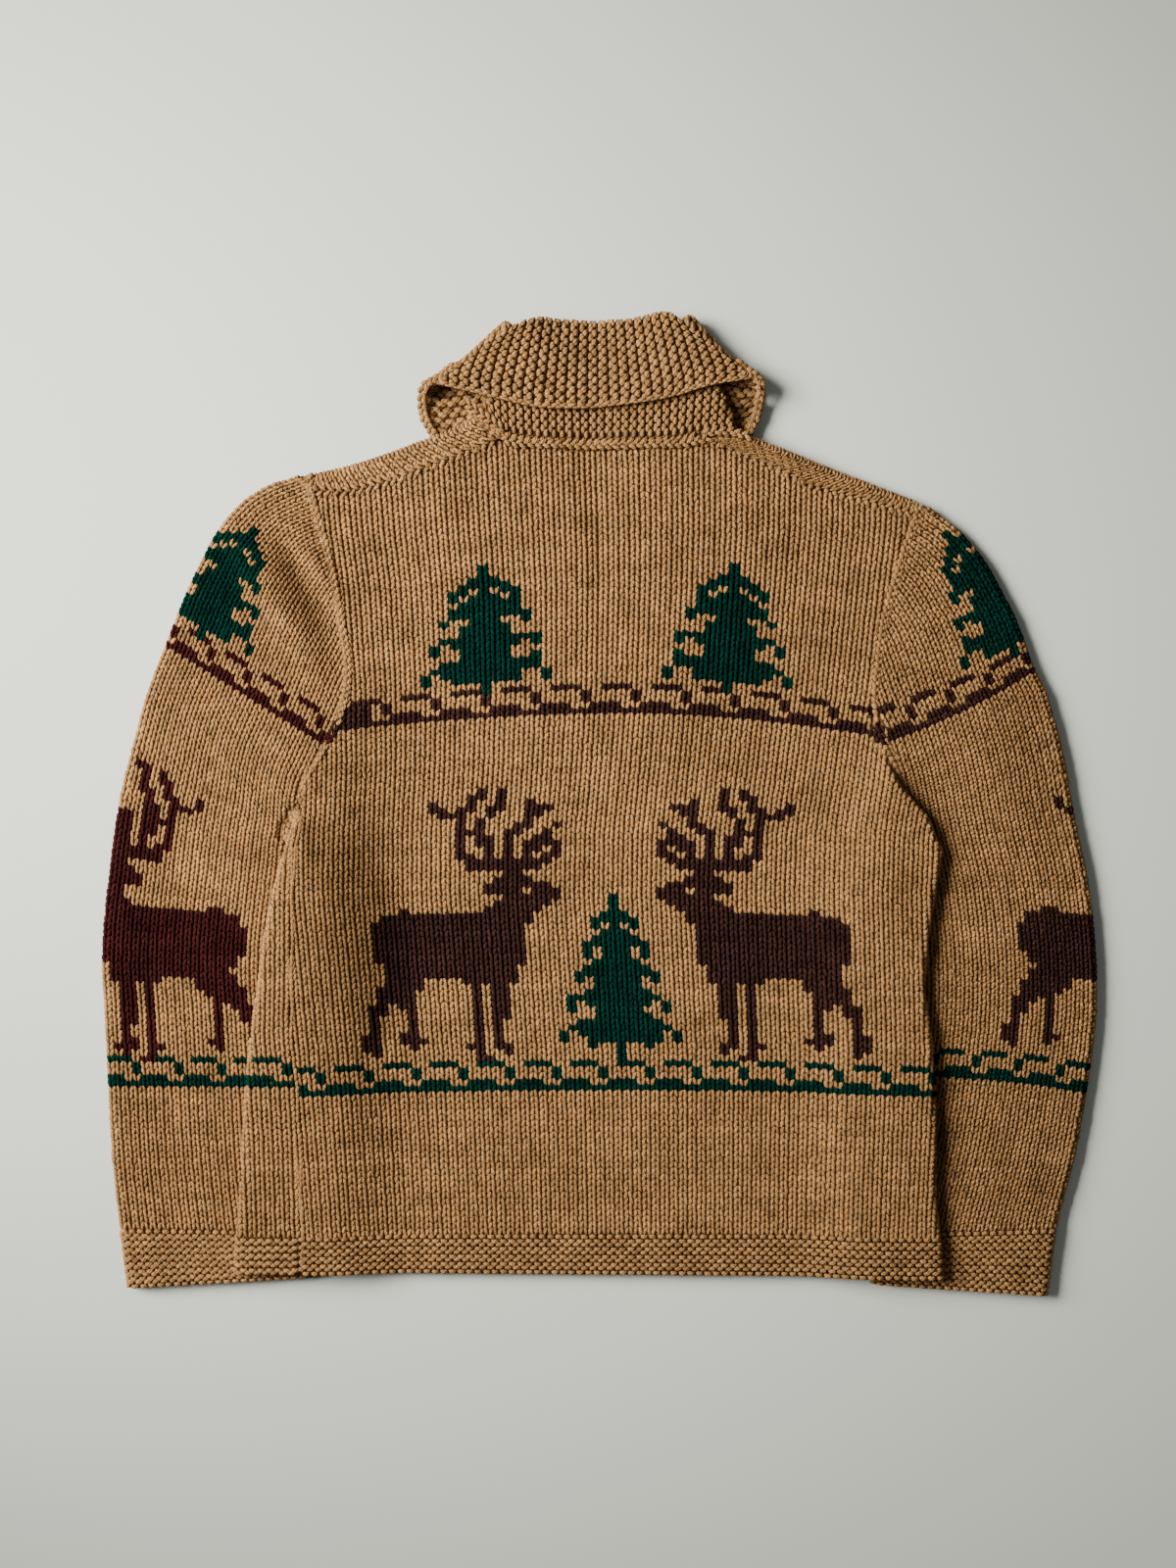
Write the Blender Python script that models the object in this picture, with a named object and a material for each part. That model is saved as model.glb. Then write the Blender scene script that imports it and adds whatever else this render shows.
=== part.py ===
"""Thick hand-knitted cardigan with a shawl collar, laid out flat on its front.

Millimetres in the tables, metres in the meshes. X runs across the back, Y from
the hem to the collar and Z up from the surface that the garment lies on. The
origin is under the middle of the whole outline. "Left" is the wearer's left, at
-X. Each piece is a wall of cloth, bent through rows of points on its mid
surface and given its thickness on both sides. The two layers of a flattened
tube meet in rounded folds. The sleeves are turned down along the body and lie
partly under it, so the body rises over them at its sides, and the lapels of the
collar lie under the fronts.
"""

import bpy
import numpy as np

MM = 0.001

# Cloth
WALL = 4.0                      # thickness of the knitted cloth
SLIT = 2.6                      # space between the two layers of a flattened tube
BEND = (WALL + SLIT) / 2        # radius of a fold, on the mid surface
FOLD_REACH = BEND + WALL / 2    # from a fold's outermost point to its centre
SEAM = 0.4                      # space between two pieces that are sewn together
SEAM_SIDE = SEAM / 2            # what each of the two pieces keeps clear
FOLD_SEAM_SIDE = 0.5            # the same where a seam runs along a fold
TUBE_HEIGHT = 2 * WALL + SLIT   # a flattened sleeve or body, from face to face

# Garter ridges
RIDGE = 0.8                     # how far a ridge stands out of the cloth
HEM_RIDGES = 5
CUFF_RIDGES = 8
COLLAR_RIDGES = 13              # on each half of the back of the collar

# What lies under the body
SLEEVE_LIFT = TUBE_HEIGHT + RIDGE + 0.4
SLEEVE_SLOPE = 60.0             # the body comes down beside a sleeve over this width
LAPEL_LIFT = WALL + 0.9
LAPEL_SLOPES = {"outer": 60.0, "inner": 30.0}

# Back and fronts, below the arms: outermost points of the side folds, and how
# far inside the left fold the side seam lies, on the upper layer.
#            y    left fold  left seam inset  right fold
SIDES = [(-366, -282, 52, 265),
         (-332, -280, 50, 263),
         (-294, -277, 46, 259),
         (-255, -275, 43, 260),
         (-216, -273, 39, 259),
         (-177, -269, 31, 256),
         (-139, -263, 26, 250),
         (-100, -258, 21, 254),
         (-69, -252, 15, 259),
         (-34, -243, 8, 265),
         (-19, -238, 6, 263),
         (7, -236.5, 6, 240),
         (18, -236.5, 6, 229),
         (32, -236.5, 6, 224.5),
         (49, -236.5, 6, 222)]
RIGHT_SEAM_INSET = 13.0         # the right side seam lies on the lower layer
FOLD_HANDOVER = {"left": 26.0, "right": 44.0}   # the seams reach the underarm over this
UNDERARM_ROLL = (90, 42, 12)    # degrees that the armhole edges turn in, from the underarm
EDGE_BAND = 3.0                 # width of a flat edge's columns
LEAST_COLUMN = 1.2              # narrowest column of the body below the arms
LEFT_TAIL = 3                   # columns round the back's left edge
RIGHT_TAIL = 6                  # columns round its right edge

# Heights of the body's rows at its left and right edge, from the top of the hem
# band to the underarms.
#          left  right
LEVELS = [(-332, -334), (-300, -300), (-265, -262), (-230, -222), (-195, -182),
          (-160, -142), (-125, -103), (-95, -68), (-68, -36), (-46, -8),
          (-30, 14), (-17, 30), (-7, 42)]
HEM = (-362, -366)              # lower edge of the body, left and right

# Armhole seams from the underarm to the shoulder, shared by body and sleeves.
#             left x  left y  right x  right y
ARMHOLES = [(-231, 1, 216, 51),
            (-230, 16, 216, 66),
            (-217, 38, 214, 84),
            (-206, 58, 215, 100),
            (-199, 77, 217, 116),
            (-195, 97, 219, 132),
            (-196, 119, 222, 148),
            (-200, 142, 227, 165),
            (-204, 166, 232, 182),
            (-210, 192, 237, 198),
            (-217, 218, 242, 212),
            (-225, 244, 247, 225)]

# Upper edge of the back: shoulder seams and back neck.
#             x    y
BACK_TOP = [(-225, 244), (-195, 243), (-162, 251), (-116, 268), (-77, 283),
            (-63, 279), (0, 278), (67, 279), (84, 283), (119, 268),
            (162, 249), (200, 238), (247, 225)]
NECK_CORNERS = (-77, 84)
SHOULDER_COLUMNS = 6
NECK_COLUMNS = 8

# Shoulder folds, where the fronts turn over onto the back's side.
#                       neck x  neck y  arm x  arm y  sag
SHOULDER_FOLDS = {"left": (-95, 301, -225, 257, 4.5),
                  "right": (112, 288, 247, 236, 0.0)}

# Neck edge of the fronts, from the foot of the V to the shoulder fold.
#                       y     left x  right x
NECK_EDGE = [(76, -0.5, 0.5),
             (84, -8, 8),
             (132, -28, 28),
             (186, -50, 53),
             (240, -70, 84),
             (270, -82, 101),
             (288, -89.5, 112),
             (302, -95, 114)]
V_FOOT_ROW = 3                  # armhole row at which the V neck starts
FRONT_TOP = {"left": 282, "right": 272}   # neck edge height of the last armhole row

# Sleeves below the armhole: outermost points of the outer and of the hidden
# inner fold, from the cuff's edge to the underarm.
#                     outer x  outer y  inner x  inner y
SLEEVE_ROWS = {"left": [(-366, -375, -214, -366),
                        (-372, -329, -212, -331),
                        (-378, -274, -209, -275),
                        (-381, -219, -206, -219),
                        (-384, -160, -203, -165),
                        (-386, -122, -203, -130),
                        (-384, -85, -203, -100),
                        (-380, -50, -210, -72),
                        (-376, -18, -225, -50),
                        (-372, 6, -240, -35),
                        (-366, 32, -242.5, -18),
                        (-358, 62, -238.5, -6)],
               "right": [(348, -381, 212, -372),
                         (355, -329, 210, -333),
                         (369, -274, 208, -275),
                         (379, -219, 206, -219),
                         (386, -160, 203, -160),
                         (386, -122, 203, -120),
                         (383, -85, 204, -85),
                         (378, -50, 208, -55),
                         (371, -18, 221, -28),
                         (366, 8, 234, -6),
                         (362, 32, 236.5, 8),
                         (356, 58, 232, 22),
                         (350, 78, 225.5, 43)]}
# Outermost points of the sleeve's outer fold beside each armhole row.
#           left x  left y  right x  right y
CAP_FOLD = [(-353, 80, 347, 88),
            (-347, 98, 342, 98),
            (-340, 116, 337, 108),
            (-332, 136, 332, 122),
            (-325, 154, 327, 136),
            (-318, 171, 321, 150),
            (-310, 187, 312, 167),
            (-301, 205, 301, 187),
            (-289, 222, 288, 204),
            (-274, 238, 275, 217),
            (-254, 249.5, 264, 225),
            (-241, 253.5, 259, 229.3)]
# The last row of a sleeve, above the shared stations.
CAP_END = {"left": (-233.5, 256.3, -225.4, 250.5), "right": (256, 232, 247.4, 229)}
SLEEVE_UPPER = 5                # columns on the upper layer of a sleeve
SLEEVE_LOWER = 4
SLEEVE_TAIL = 2                 # columns round each side of the hidden inner fold
FOLD_STEPS = 4                  # steps round a fold

# How far in the sleeves' hidden edges lie under the body.
#           y    left x  right x
TUCKED = [(-375, -212, 210),
          (-331, -210, 208),
          (-219, -204, 204),
          (-130, -201, 201),
          (-100, -201, 202),
          (-72, -208, 205),
          (-50, -223, 207),
          (-28, -238, 219),
          (-6, -240, 234),
          (10, -240, 235),
          (24, -236, 231),
          (50, -236, 222)]
LIFT_STARTS = {"left": -1.0, "right": 46.0}     # underarm heights
LIFT_RUN = 32.0                 # the body is on top of the sleeve this far below

# Stations of the collar: seam (where it is sewn on), roll (the line that it turns
# over at) and edge (its free edge), then the heights of its mid surface at the
# seam, on both sides of the roll and at the edge. The upper stations run from the
# middle of the back to the side of the neck, the lower ones on to the foot of the V.
#                     seam         roll        edge    seam z stand z fall z edge z
COLLAR_UPPER = {
    "left": [(-5, 278.6, -5, 373, -5, 307, 8.6, 4.0, 10.5, 12.6),
             (-39, 279.0, -30, 374, -45, 307, 13.2, 6.5, 13.2, 16.6),
             (-62, 281.0, -46, 375, -76, 313, 13.5, 11.2, 17.2, 18.0),
             (-76, 285.8, -57, 372.5, -104, 320, 13.5, 12.6, 18.4, 18.6),
             (-89.5, 297, -67, 368, -132, 320, 13.2, 13.0, 18.9, 17.5)],
    "right": [(-5, 278.6, -5, 373, -5, 307, 8.6, 4.0, 10.5, 12.6),
              (32, 279.0, 28, 375, 33, 311, 13.2, 6.5, 13.2, 16.6),
              (60, 279.9, 45, 378.5, 60, 316, 13.5, 11.2, 17.2, 18.0),
              (83, 284.6, 55, 378.5, 88, 324, 13.5, 12.6, 18.4, 18.6),
              (106.6, 285.4, 64, 372.5, 124, 316, 13.2, 13.0, 18.9, 17.5)]}
COLLAR_LOWER = {
    "left": [(-89.5, 297, -67, 368, -132, 320, 6.9, 7.2, 2.0, 2.0),
             (-81, 270, -60, 316, -131, 283, 6.9, 7.2, 2.0, 2.0),
             (-69, 240, -41, 266, -110, 232, 6.9, 7.2, 2.0, 2.0),
             (-49, 186, -25, 202, -84, 172, 6.9, 7.2, 2.0, 2.0),
             (-27, 132, -12, 140, -56, 115, 6.9, 7.2, 2.0, 2.0),
             (-7, 89.5, -3, 96, -31, 70, 6.9, 7.2, 2.0, 2.0)],
    "right": [(106.6, 285.4, 64, 372.5, 124, 316, 6.9, 7.2, 2.0, 2.0),
              (98.8, 268, 60, 322, 119, 286, 6.9, 7.2, 2.0, 2.0),
              (82.8, 240, 43, 268, 108, 232, 6.9, 7.2, 2.0, 2.0),
              (52, 186, 26, 203, 84, 172, 6.9, 7.2, 2.0, 2.0),
              (27, 132, 12, 140, 56, 115, 6.9, 7.2, 2.0, 2.0),
              (7, 89.5, 3, 96, 31, 70, 6.9, 7.2, 2.0, 2.0)]}
COLLAR_LOWER_STEPS = 2          # rows between two of the lower stations
COLLAR_SIDE_STEPS = 6           # steps round the side of the neck
COLLAR_STAND = 3                # columns of the stand
COLLAR_ROLL = 4
COLLAR_FALL = 3

# Where the lapels lie under the fronts.
#          y   inner x  outer x
LAPELS = [(350, 74, 142),
          (318, 54, 142),
          (268, 34, 134),
          (204, 18, 108),
          (142, 5, 80),
          (100, 0, 60),
          (66, 0, 42)]
LAPEL_FOOT = 20.0               # the fronts are down on the surface below this height
LAPEL_FOOT_RUN = 42.0

# Soft swellings of the upper layer: middle, half length, half width, direction
# in degrees from +X, and height.
#            x     y   length width angle height
SWELLS = [(-262, 170, 70, 22, 50, 2.4),
          (-222, 120, 60, 16, 100, 1.6),
          (250, 120, 70, 22, 100, 2.2),
          (300, 60, 90, 26, 105, 1.6),
          (-60, -60, 150, 50, 8, 0.9),
          (120, -180, 120, 40, 80, 1.0),
          (-150, 150, 70, 30, 60, 0.9)]

UP = np.array([0.0, 0.0, 1.0])

WOOL = {"heather_tan": (0.31, 0.17, 0.075), "garter_tan": (0.28, 0.155, 0.07)}
WOOL_ROUGHNESS = 0.95


# ---------------------------------------------------------------- curves

def ease(t):
    """Smooth step from 0 to 1."""
    t = np.clip(t, 0.0, 1.0)
    return t * t * (3.0 - 2.0 * t)


def through(knots, values, at):
    """Smooth curve through a table's values, with slopes from its neighbours."""
    knots = np.asarray(knots, float)
    values = np.asarray(values, float)
    slopes = np.gradient(values, knots, axis=0)
    at = np.clip(np.asarray(at, float), knots[0], knots[-1])
    left = np.clip(np.searchsorted(knots, at, side="right") - 1, 0, len(knots) - 2)
    span = knots[left + 1] - knots[left]
    t = (at - knots[left]) / span
    if values.ndim > 1:
        t = t[..., None]
        span = span[..., None]
    return ((2 * t ** 3 - 3 * t ** 2 + 1) * values[left]
            + (t ** 3 - 2 * t ** 2 + t) * span * slopes[left]
            + (3 * t ** 2 - 2 * t ** 3) * values[left + 1]
            + (t ** 3 - t ** 2) * span * slopes[left + 1])


def column(table, index):
    return np.array([row[index] for row in table], float)


def by_height(table, index, y):
    """Value of one column of a table whose first column is a height."""
    order = np.argsort(column(table, 0))
    return np.interp(y, column(table, 0)[order], column(table, index)[order])


def roll(past):
    """Travel along a layer and towards the other one, past a fold's centre line."""
    angle = np.clip(past / BEND, 0.0, np.pi)
    back = np.maximum(past - BEND * np.pi, 0.0)
    onward = np.where(past < 0, past, BEND * np.sin(angle) - back)
    return onward, BEND * (1.0 - np.cos(angle))


def roll_outside(past):
    """Outside direction past a fold's centre line: outward, and away from the slit."""
    angle = np.clip(past / BEND, 0.0, np.pi)
    return np.sin(angle), np.cos(angle)


def tail(reach, steps):
    """Column places beside and past a fold's centre line, the last one at reach."""
    first = min(0.0, reach - EDGE_BAND)
    if reach > BEND * np.pi + 1.0:
        bend = np.linspace(0, BEND * np.pi, steps - 1)
        return first, np.append(bend[1:], [(reach + BEND * np.pi) / 2, reach])
    return first, np.linspace(first, reach, steps + 1)[1:]


# ---------------------------------------------------------------- what lies below

def sleeve_lift(x, y):
    """How high the tucked sleeves hold the body up."""
    lift = 0.0
    for name, index, sign in (("left", 1, -1.0), ("right", 2, 1.0)):
        inside = by_height(TUCKED, index, y) * sign - x * sign
        along = ease((LIFT_STARTS[name] - y) / LIFT_RUN)
        lift = lift + SLEEVE_LIFT * along * ease(1.0 - inside / SLEEVE_SLOPE)
    return lift


def lapel_lift(x, y):
    """How high the lapels hold the body up."""
    reach = np.abs(x)
    beyond = np.maximum(reach - by_height(LAPELS, 2, y), 0.0) / LAPEL_SLOPES["outer"]
    within = np.maximum(by_height(LAPELS, 1, y) - reach, 0.0) / LAPEL_SLOPES["inner"]
    return (LAPEL_LIFT * ease(1.0 - np.maximum(beyond, within))
            * ease((y - LAPEL_FOOT) / LAPEL_FOOT_RUN))


def swell(x, y):
    """Soft swellings of the upper layer."""
    height = 0.0
    for middle_x, middle_y, length, width, angle, top in SWELLS:
        turn = np.radians(angle)
        along = ((x - middle_x) * np.cos(turn) + (y - middle_y) * np.sin(turn)) / length
        across = ((y - middle_y) * np.cos(turn) - (x - middle_x) * np.sin(turn)) / width
        height = height + top * ease(1.0 - np.sqrt(along ** 2 + across ** 2))
    return height


def body_height(x, y, upward):
    """Height of the body's mid surface; upward is 0 on its lower layer."""
    share = upward / (2 * BEND)
    return WALL / 2 + sleeve_lift(x, y) + lapel_lift(x, y) + upward + share * swell(x, y)


# ---------------------------------------------------------------- body

def row_levels():
    """Left and right heights of all rows from the hem to the last armhole row."""
    left = list(np.linspace(HEM[0], LEVELS[0][0], 2 * HEM_RIDGES + 1))
    right = list(np.linspace(HEM[1], LEVELS[0][1], 2 * HEM_RIDGES + 1))
    left += [row[0] for row in LEVELS[1:]] + [row[1] for row in ARMHOLES]
    right += [row[1] for row in LEVELS[1:]] + [row[3] for row in ARMHOLES]
    return np.array(left, float), np.array(right, float)


def ridges(rows, count):
    """Ridge heights of the first rows: up on every second one."""
    up = np.zeros(rows)
    up[1:2 * count:2] = RIDGE
    return up


def back_columns():
    """Shares of the width between the armholes that the back's columns lie at."""
    corner_a, corner_b = [(x - BACK_TOP[0][0]) / (BACK_TOP[-1][0] - BACK_TOP[0][0])
                          for x in NECK_CORNERS]
    return np.concatenate([np.linspace(0, corner_a, SHOULDER_COLUMNS + 1),
                           np.linspace(corner_a, corner_b, NECK_COLUMNS + 1)[1:],
                           np.linspace(corner_b, 1, SHOULDER_COLUMNS + 1)[1:]])


def slope_columns(y_left, y_right, start_x, end_x, on_slope, to_middle):
    """Columns of a row below the arms, close together where a sleeve lies below."""
    left = by_height(TUCKED, 1, y_left)
    right = by_height(TUCKED, 2, y_right)
    slope = np.linspace(0, SLEEVE_SLOPE, on_slope + 1)
    middle = np.linspace(left + SLEEVE_SLOPE, right - SLEEVE_SLOPE, 2 * to_middle + 1)
    places = np.concatenate([[start_x], left + slope, middle[1:-1],
                             right - slope[::-1], [end_x]])
    apart = LEAST_COLUMN * np.arange(len(places))
    return np.maximum(np.minimum(places, end_x - apart[::-1]), start_x + apart)


def back_sheet():
    left_y, right_y = row_levels()
    first_arm = len(left_y) - len(ARMHOLES)
    rows, outside = [], []
    for k, (start_y, end_y) in enumerate(zip(left_y, right_y)):
        arm = k - first_arm
        start_x, start_reach, end_x, end_reach = back_edges(arm, start_y, end_y)
        start_inset, start_tail = tail(start_reach, LEFT_TAIL)
        end_inset, end_tail = tail(end_reach, RIGHT_TAIL)
        first, last = start_x - start_inset, end_x + end_inset
        even = first + (last - first) * back_columns()
        if arm < 0:
            flat = slope_columns(start_y, end_y, first, last, 4, 5)
        else:
            flat = even
        onward_start, down_start = roll(start_tail)
        onward_end, down_end = roll(end_tail)
        side_start, up_start = roll_outside(start_tail)
        side_end, up_end = roll_outside(end_tail)
        still = np.zeros(len(flat))
        side = np.concatenate([-side_start[::-1], still, side_end])
        upright = np.concatenate([up_start[::-1], still + 1, up_end])
        x = np.concatenate([(start_x - onward_start)[::-1], flat, end_x + onward_end])
        down = np.concatenate([down_start[::-1], np.zeros(len(flat)), down_end])
        t = np.clip((x - start_x) / (end_x - start_x), 0, 1)
        y = start_y + (end_y - start_y) * t
        if arm > V_FOOT_ROW:
            weight = ((arm - V_FOOT_ROW) / (len(ARMHOLES) - 1 - V_FOOT_ROW)) ** 1.5
            chord = ARMHOLES[-1][1] + (ARMHOLES[-1][3] - ARMHOLES[-1][1]) * t
            top = np.interp(x, column(BACK_TOP, 0), column(BACK_TOP, 1))
            y = y + weight * (top - chord - SEAM_SIDE)
        rows.append(np.stack([x, y, body_height(x, y, 2 * BEND - down)], axis=-1))
        outside.append(np.stack([side, 0 * side, upright], axis=-1))
    return np.array(rows), np.array(outside), ridges(len(rows), HEM_RIDGES)


def fold_share(height, side):
    """How much of a side fold belongs to the front just below the underarm."""
    start = FOLD_HANDOVER[side]
    return 0.5 + 0.5 * ease((ARMHOLES[0][1 if side == "left" else 3] - height) / start)


def arm_edge(side, arm):
    """Fold centre and reach of an armhole edge, which is rolled in near the underarm."""
    inward = 1.0 if side == "left" else -1.0
    seam_x = ARMHOLES[arm][0 if side == "left" else 2]
    angle = np.radians(UNDERARM_ROLL[arm]) if arm < len(UNDERARM_ROLL) else 0.0
    centre = seam_x + inward * (SEAM_SIDE + FOLD_REACH * np.sin(angle))
    return centre, max(BEND * angle - (FOLD_SEAM_SIDE if arm == 0 else 0.0), 0.0)


def back_edges(arm, start_y, end_y):
    """Fold centres of the back's two edges and how far it reaches past them."""
    if arm >= 0:
        return (*arm_edge("left", arm), *arm_edge("right", arm))
    quarter = BEND * np.pi / 2
    left = by_height(SIDES, 1, start_y) + FOLD_REACH
    inset = by_height(SIDES, 2, start_y) - FOLD_REACH
    left_reach = 2 * quarter * (1 - fold_share(start_y, "left")) - inset - FOLD_SEAM_SIDE
    right = by_height(SIDES, 3, end_y) - FOLD_REACH
    under = ease((ARMHOLES[0][3] - end_y) / FOLD_HANDOVER["right"])
    right_reach = (quarter + under * (quarter + RIGHT_SEAM_INSET - FOLD_REACH)
                   - FOLD_SEAM_SIDE)
    return left, left_reach, right, right_reach


def front_edges(side, arm, side_y):
    """Fold centre of a front's side edge and how far it reaches past it."""
    if arm >= 0:
        return arm_edge(side, arm)
    quarter = BEND * np.pi / 2
    if side == "left":
        inset = by_height(SIDES, 2, side_y) - FOLD_REACH
        reach = 2 * quarter * fold_share(side_y, side) + inset - FOLD_SEAM_SIDE
        return by_height(SIDES, 1, side_y) + FOLD_REACH, reach
    under = ease((ARMHOLES[0][3] - side_y) / FOLD_HANDOVER[side])
    reach = quarter - under * (quarter + RIGHT_SEAM_INSET - FOLD_REACH) - FOLD_SEAM_SIDE
    return by_height(SIDES, 3, side_y) - FOLD_REACH, reach


def front_neck(side, arm, side_y, level, first_arm):
    """Middle or neck edge of one row of a front."""
    middle = (HEM[0] + HEM[1]) / 2 + (side_y - level[0])
    if arm < 0:
        return 0.0, middle
    foot = NECK_EDGE[0][0]
    if arm < V_FOOT_ROW:
        below = (HEM[0] + HEM[1]) / 2 + level[first_arm - 1] - level[0]
        return 0.0, below + (foot - below) * (arm + 1) / (V_FOOT_ROW + 1)
    rise = (arm - V_FOOT_ROW) / (len(ARMHOLES) - 1 - V_FOOT_ROW)
    neck_y = foot + (FRONT_TOP[side] - foot) * rise
    return by_height(NECK_EDGE, 1 if side == "left" else 2, neck_y), neck_y


def front_sheet(side):
    """One front: hem to shoulder fold below, then over the shoulder to its seam."""
    sign = -1.0 if side == "left" else 1.0
    level = dict(zip(("left", "right"), row_levels()))[side]
    first_arm = len(level) - len(ARMHOLES)
    share = np.linspace(0, 1, SHOULDER_COLUMNS + 1)
    steps = RIGHT_TAIL if side == "left" else LEFT_TAIL
    rows, outside = [], []
    for k, side_y in enumerate(level):
        arm = k - first_arm
        neck_x, neck_y = front_neck(side, arm, side_y, level, first_arm)
        start_x = neck_x + sign * SEAM_SIDE
        end_x, reach = front_edges(side, arm, side_y)
        inset, past = tail(reach, steps)
        last = end_x + sign * inset
        if arm < 0:
            whole = slope_columns(side_y, side_y, min(last, -last), max(last, -last), 3, 2)
            flat = np.abs(whole[len(whole) // 2:])
            flat = sign * np.concatenate([[abs(start_x)], flat[1:]])
            flat[-1] = last
        else:
            flat = start_x + (last - start_x) * share
        onward, upward = roll(past)
        aside, down = roll_outside(past)
        x = np.concatenate([flat, end_x + sign * onward])
        upward = np.concatenate([np.zeros(len(flat)), upward])
        t = np.clip((x - start_x) / (end_x - start_x), 0, 1)
        y = neck_y + (side_y - neck_y) * t
        rows.append(np.stack([x, y, body_height(x, y, upward)], axis=-1))
        still = np.zeros(len(flat))
        turned = [np.concatenate([still, sign * aside]), np.zeros(len(x)),
                  np.concatenate([still - 1, -down])]
        outside.append(np.stack(turned, axis=-1))
    over, over_outside = shoulder_rows(side, rows[-1])
    return (np.array(rows + over), np.array(outside + over_outside),
            ridges(len(rows + over), HEM_RIDGES))


def shoulder_rows(side, last):
    """Rows round the shoulder fold and down to the shoulder seam."""
    sign = -1.0 if side == "left" else 1.0
    neck_x, neck_y, arm_x, arm_y, sag = SHOULDER_FOLDS[side]
    t = (last[:, 0] - last[0, 0]) / (last[-1, 0] - last[0, 0])
    fold_x = neck_x + sign * SEAM_SIDE + (arm_x - neck_x - 2 * sign * SEAM_SIDE) * t
    fold_y = neck_y + (arm_y - neck_y) * t - sag * 4 * t * (1 - t) - FOLD_REACH
    corner = NECK_CORNERS[0] if side == "left" else NECK_CORNERS[1]
    seam_x = corner + sign * SEAM_SIDE + (arm_x - corner - 2 * sign * SEAM_SIDE) * t
    seam_y = np.interp(seam_x, column(BACK_TOP, 0), column(BACK_TOP, 1)) + SEAM_SIDE
    rows, outside = [], []
    for angle in np.linspace(0, np.pi, FOLD_STEPS + 1):
        y = fold_y + BEND * np.sin(angle)
        z = body_height(fold_x, y, BEND * (1 - np.cos(angle)))
        rows.append(np.stack([fold_x, y, z], axis=-1))
        outside.append(np.tile([0.0, np.sin(angle), -np.cos(angle)], (len(t), 1)))
    for share in (0.5, 1.0):
        x = fold_x + (seam_x - fold_x) * share
        y = fold_y + (seam_y - fold_y) * share
        rows.append(np.stack([x, y, body_height(x, y, 2 * BEND)], axis=-1))
        outside.append(np.tile(UP, (len(t), 1)))
    return rows, outside


# ---------------------------------------------------------------- sleeves

def sleeve_section(outer, inner, setback, reach, skew):
    """Mid surface of one row: inner edge, upper layer, outer fold, lower layer."""
    outer = np.array(outer, float)
    inner = np.array(inner, float)
    length = np.linalg.norm(outer - inner)
    away = (outer - inner) / length
    inset, past = tail(reach, SLEEVE_TAIL)
    onward, turned = roll(past)
    aside, upright = roll_outside(past)
    centre = setback / skew
    onward = onward / skew
    first, last = centre - inset / skew, length - FOLD_REACH
    angles = np.linspace(0, np.pi, FOLD_STEPS + 1)
    upper = np.linspace(first, last, SLEEVE_UPPER + 1)[:-1]
    lower = np.linspace(last, first, SLEEVE_LOWER + 1)[1:]
    along = np.concatenate([(centre - onward)[::-1], upper, last + BEND * np.sin(angles),
                            lower, centre - onward])
    height = np.concatenate([(BEND - turned)[::-1], np.full(len(upper), BEND),
                             BEND * np.cos(angles), np.full(len(lower), -BEND),
                             turned - BEND])
    out_along = np.concatenate([-aside[::-1] / skew, 0 * upper, np.sin(angles),
                                0 * lower, -aside / skew])
    out_up = np.concatenate([upright[::-1], 0 * upper + 1, np.cos(angles),
                             0 * lower - 1, -upright])
    plan = inner + along[:, None] * away
    share = (height + BEND) / (2 * BEND)
    z = WALL / 2 + BEND + height + share * swell(plan[:, 0], plan[:, 1])
    return np.column_stack([plan, z]), np.column_stack([out_along[:, None] * away, out_up])


def sleeve_sheet(side):
    sign = -1.0 if side == "left" else 1.0
    arm_column = 0 if side == "left" else 2
    tube = np.array(SLEEVE_ROWS[side], float)
    cuff = np.linspace(tube[0], tube[1], 2 * CUFF_RIDGES + 1)
    quarter = BEND * np.pi / 2 - FOLD_SEAM_SIDE
    below = np.concatenate([cuff, tube[2:]])
    seam = np.array(ARMHOLES, float)[:, arm_column:arm_column + 2] + (sign * SEAM_SIDE, 0)
    cap = np.array(CAP_FOLD, float)[:, arm_column:arm_column + 2]
    outer = np.concatenate([below[:, :2], cap, [CAP_END[side][:2]]])
    inner = np.concatenate([below[:, 2:], seam, [CAP_END[side][2:]]])
    path, away = np.gradient(inner, axis=0), outer - inner
    skew = np.abs(path[:, 0] * away[:, 1] - path[:, 1] * away[:, 0])
    skew = skew / np.linalg.norm(path, axis=1) / np.linalg.norm(away, axis=1)
    rows, outside = [], []
    for k, slant in enumerate(np.maximum(skew, 0.5)):
        arm = min(k - len(below), len(ARMHOLES) - 1)
        setback, reach = FOLD_REACH, quarter
        if arm >= 0:
            centre, reach = arm_edge(side, arm)
            setback = abs(centre - ARMHOLES[arm][arm_column]) - SEAM_SIDE
        row, out = sleeve_section(outer[k], inner[k], setback, reach, slant)
        rows.append(row)
        outside.append(out)
    return np.array(rows), np.array(outside), ridges(len(rows), CUFF_RIDGES)


# ---------------------------------------------------------------- collar

def collar_bend():
    """Angle round the roll of each column: a quarter turn down on the stand."""
    quarter = np.pi / 2
    return np.concatenate([np.full(COLLAR_STAND, -quarter),
                           np.linspace(-quarter, quarter, COLLAR_ROLL + 1),
                           np.full(COLLAR_FALL, quarter)])[:, None]


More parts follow.
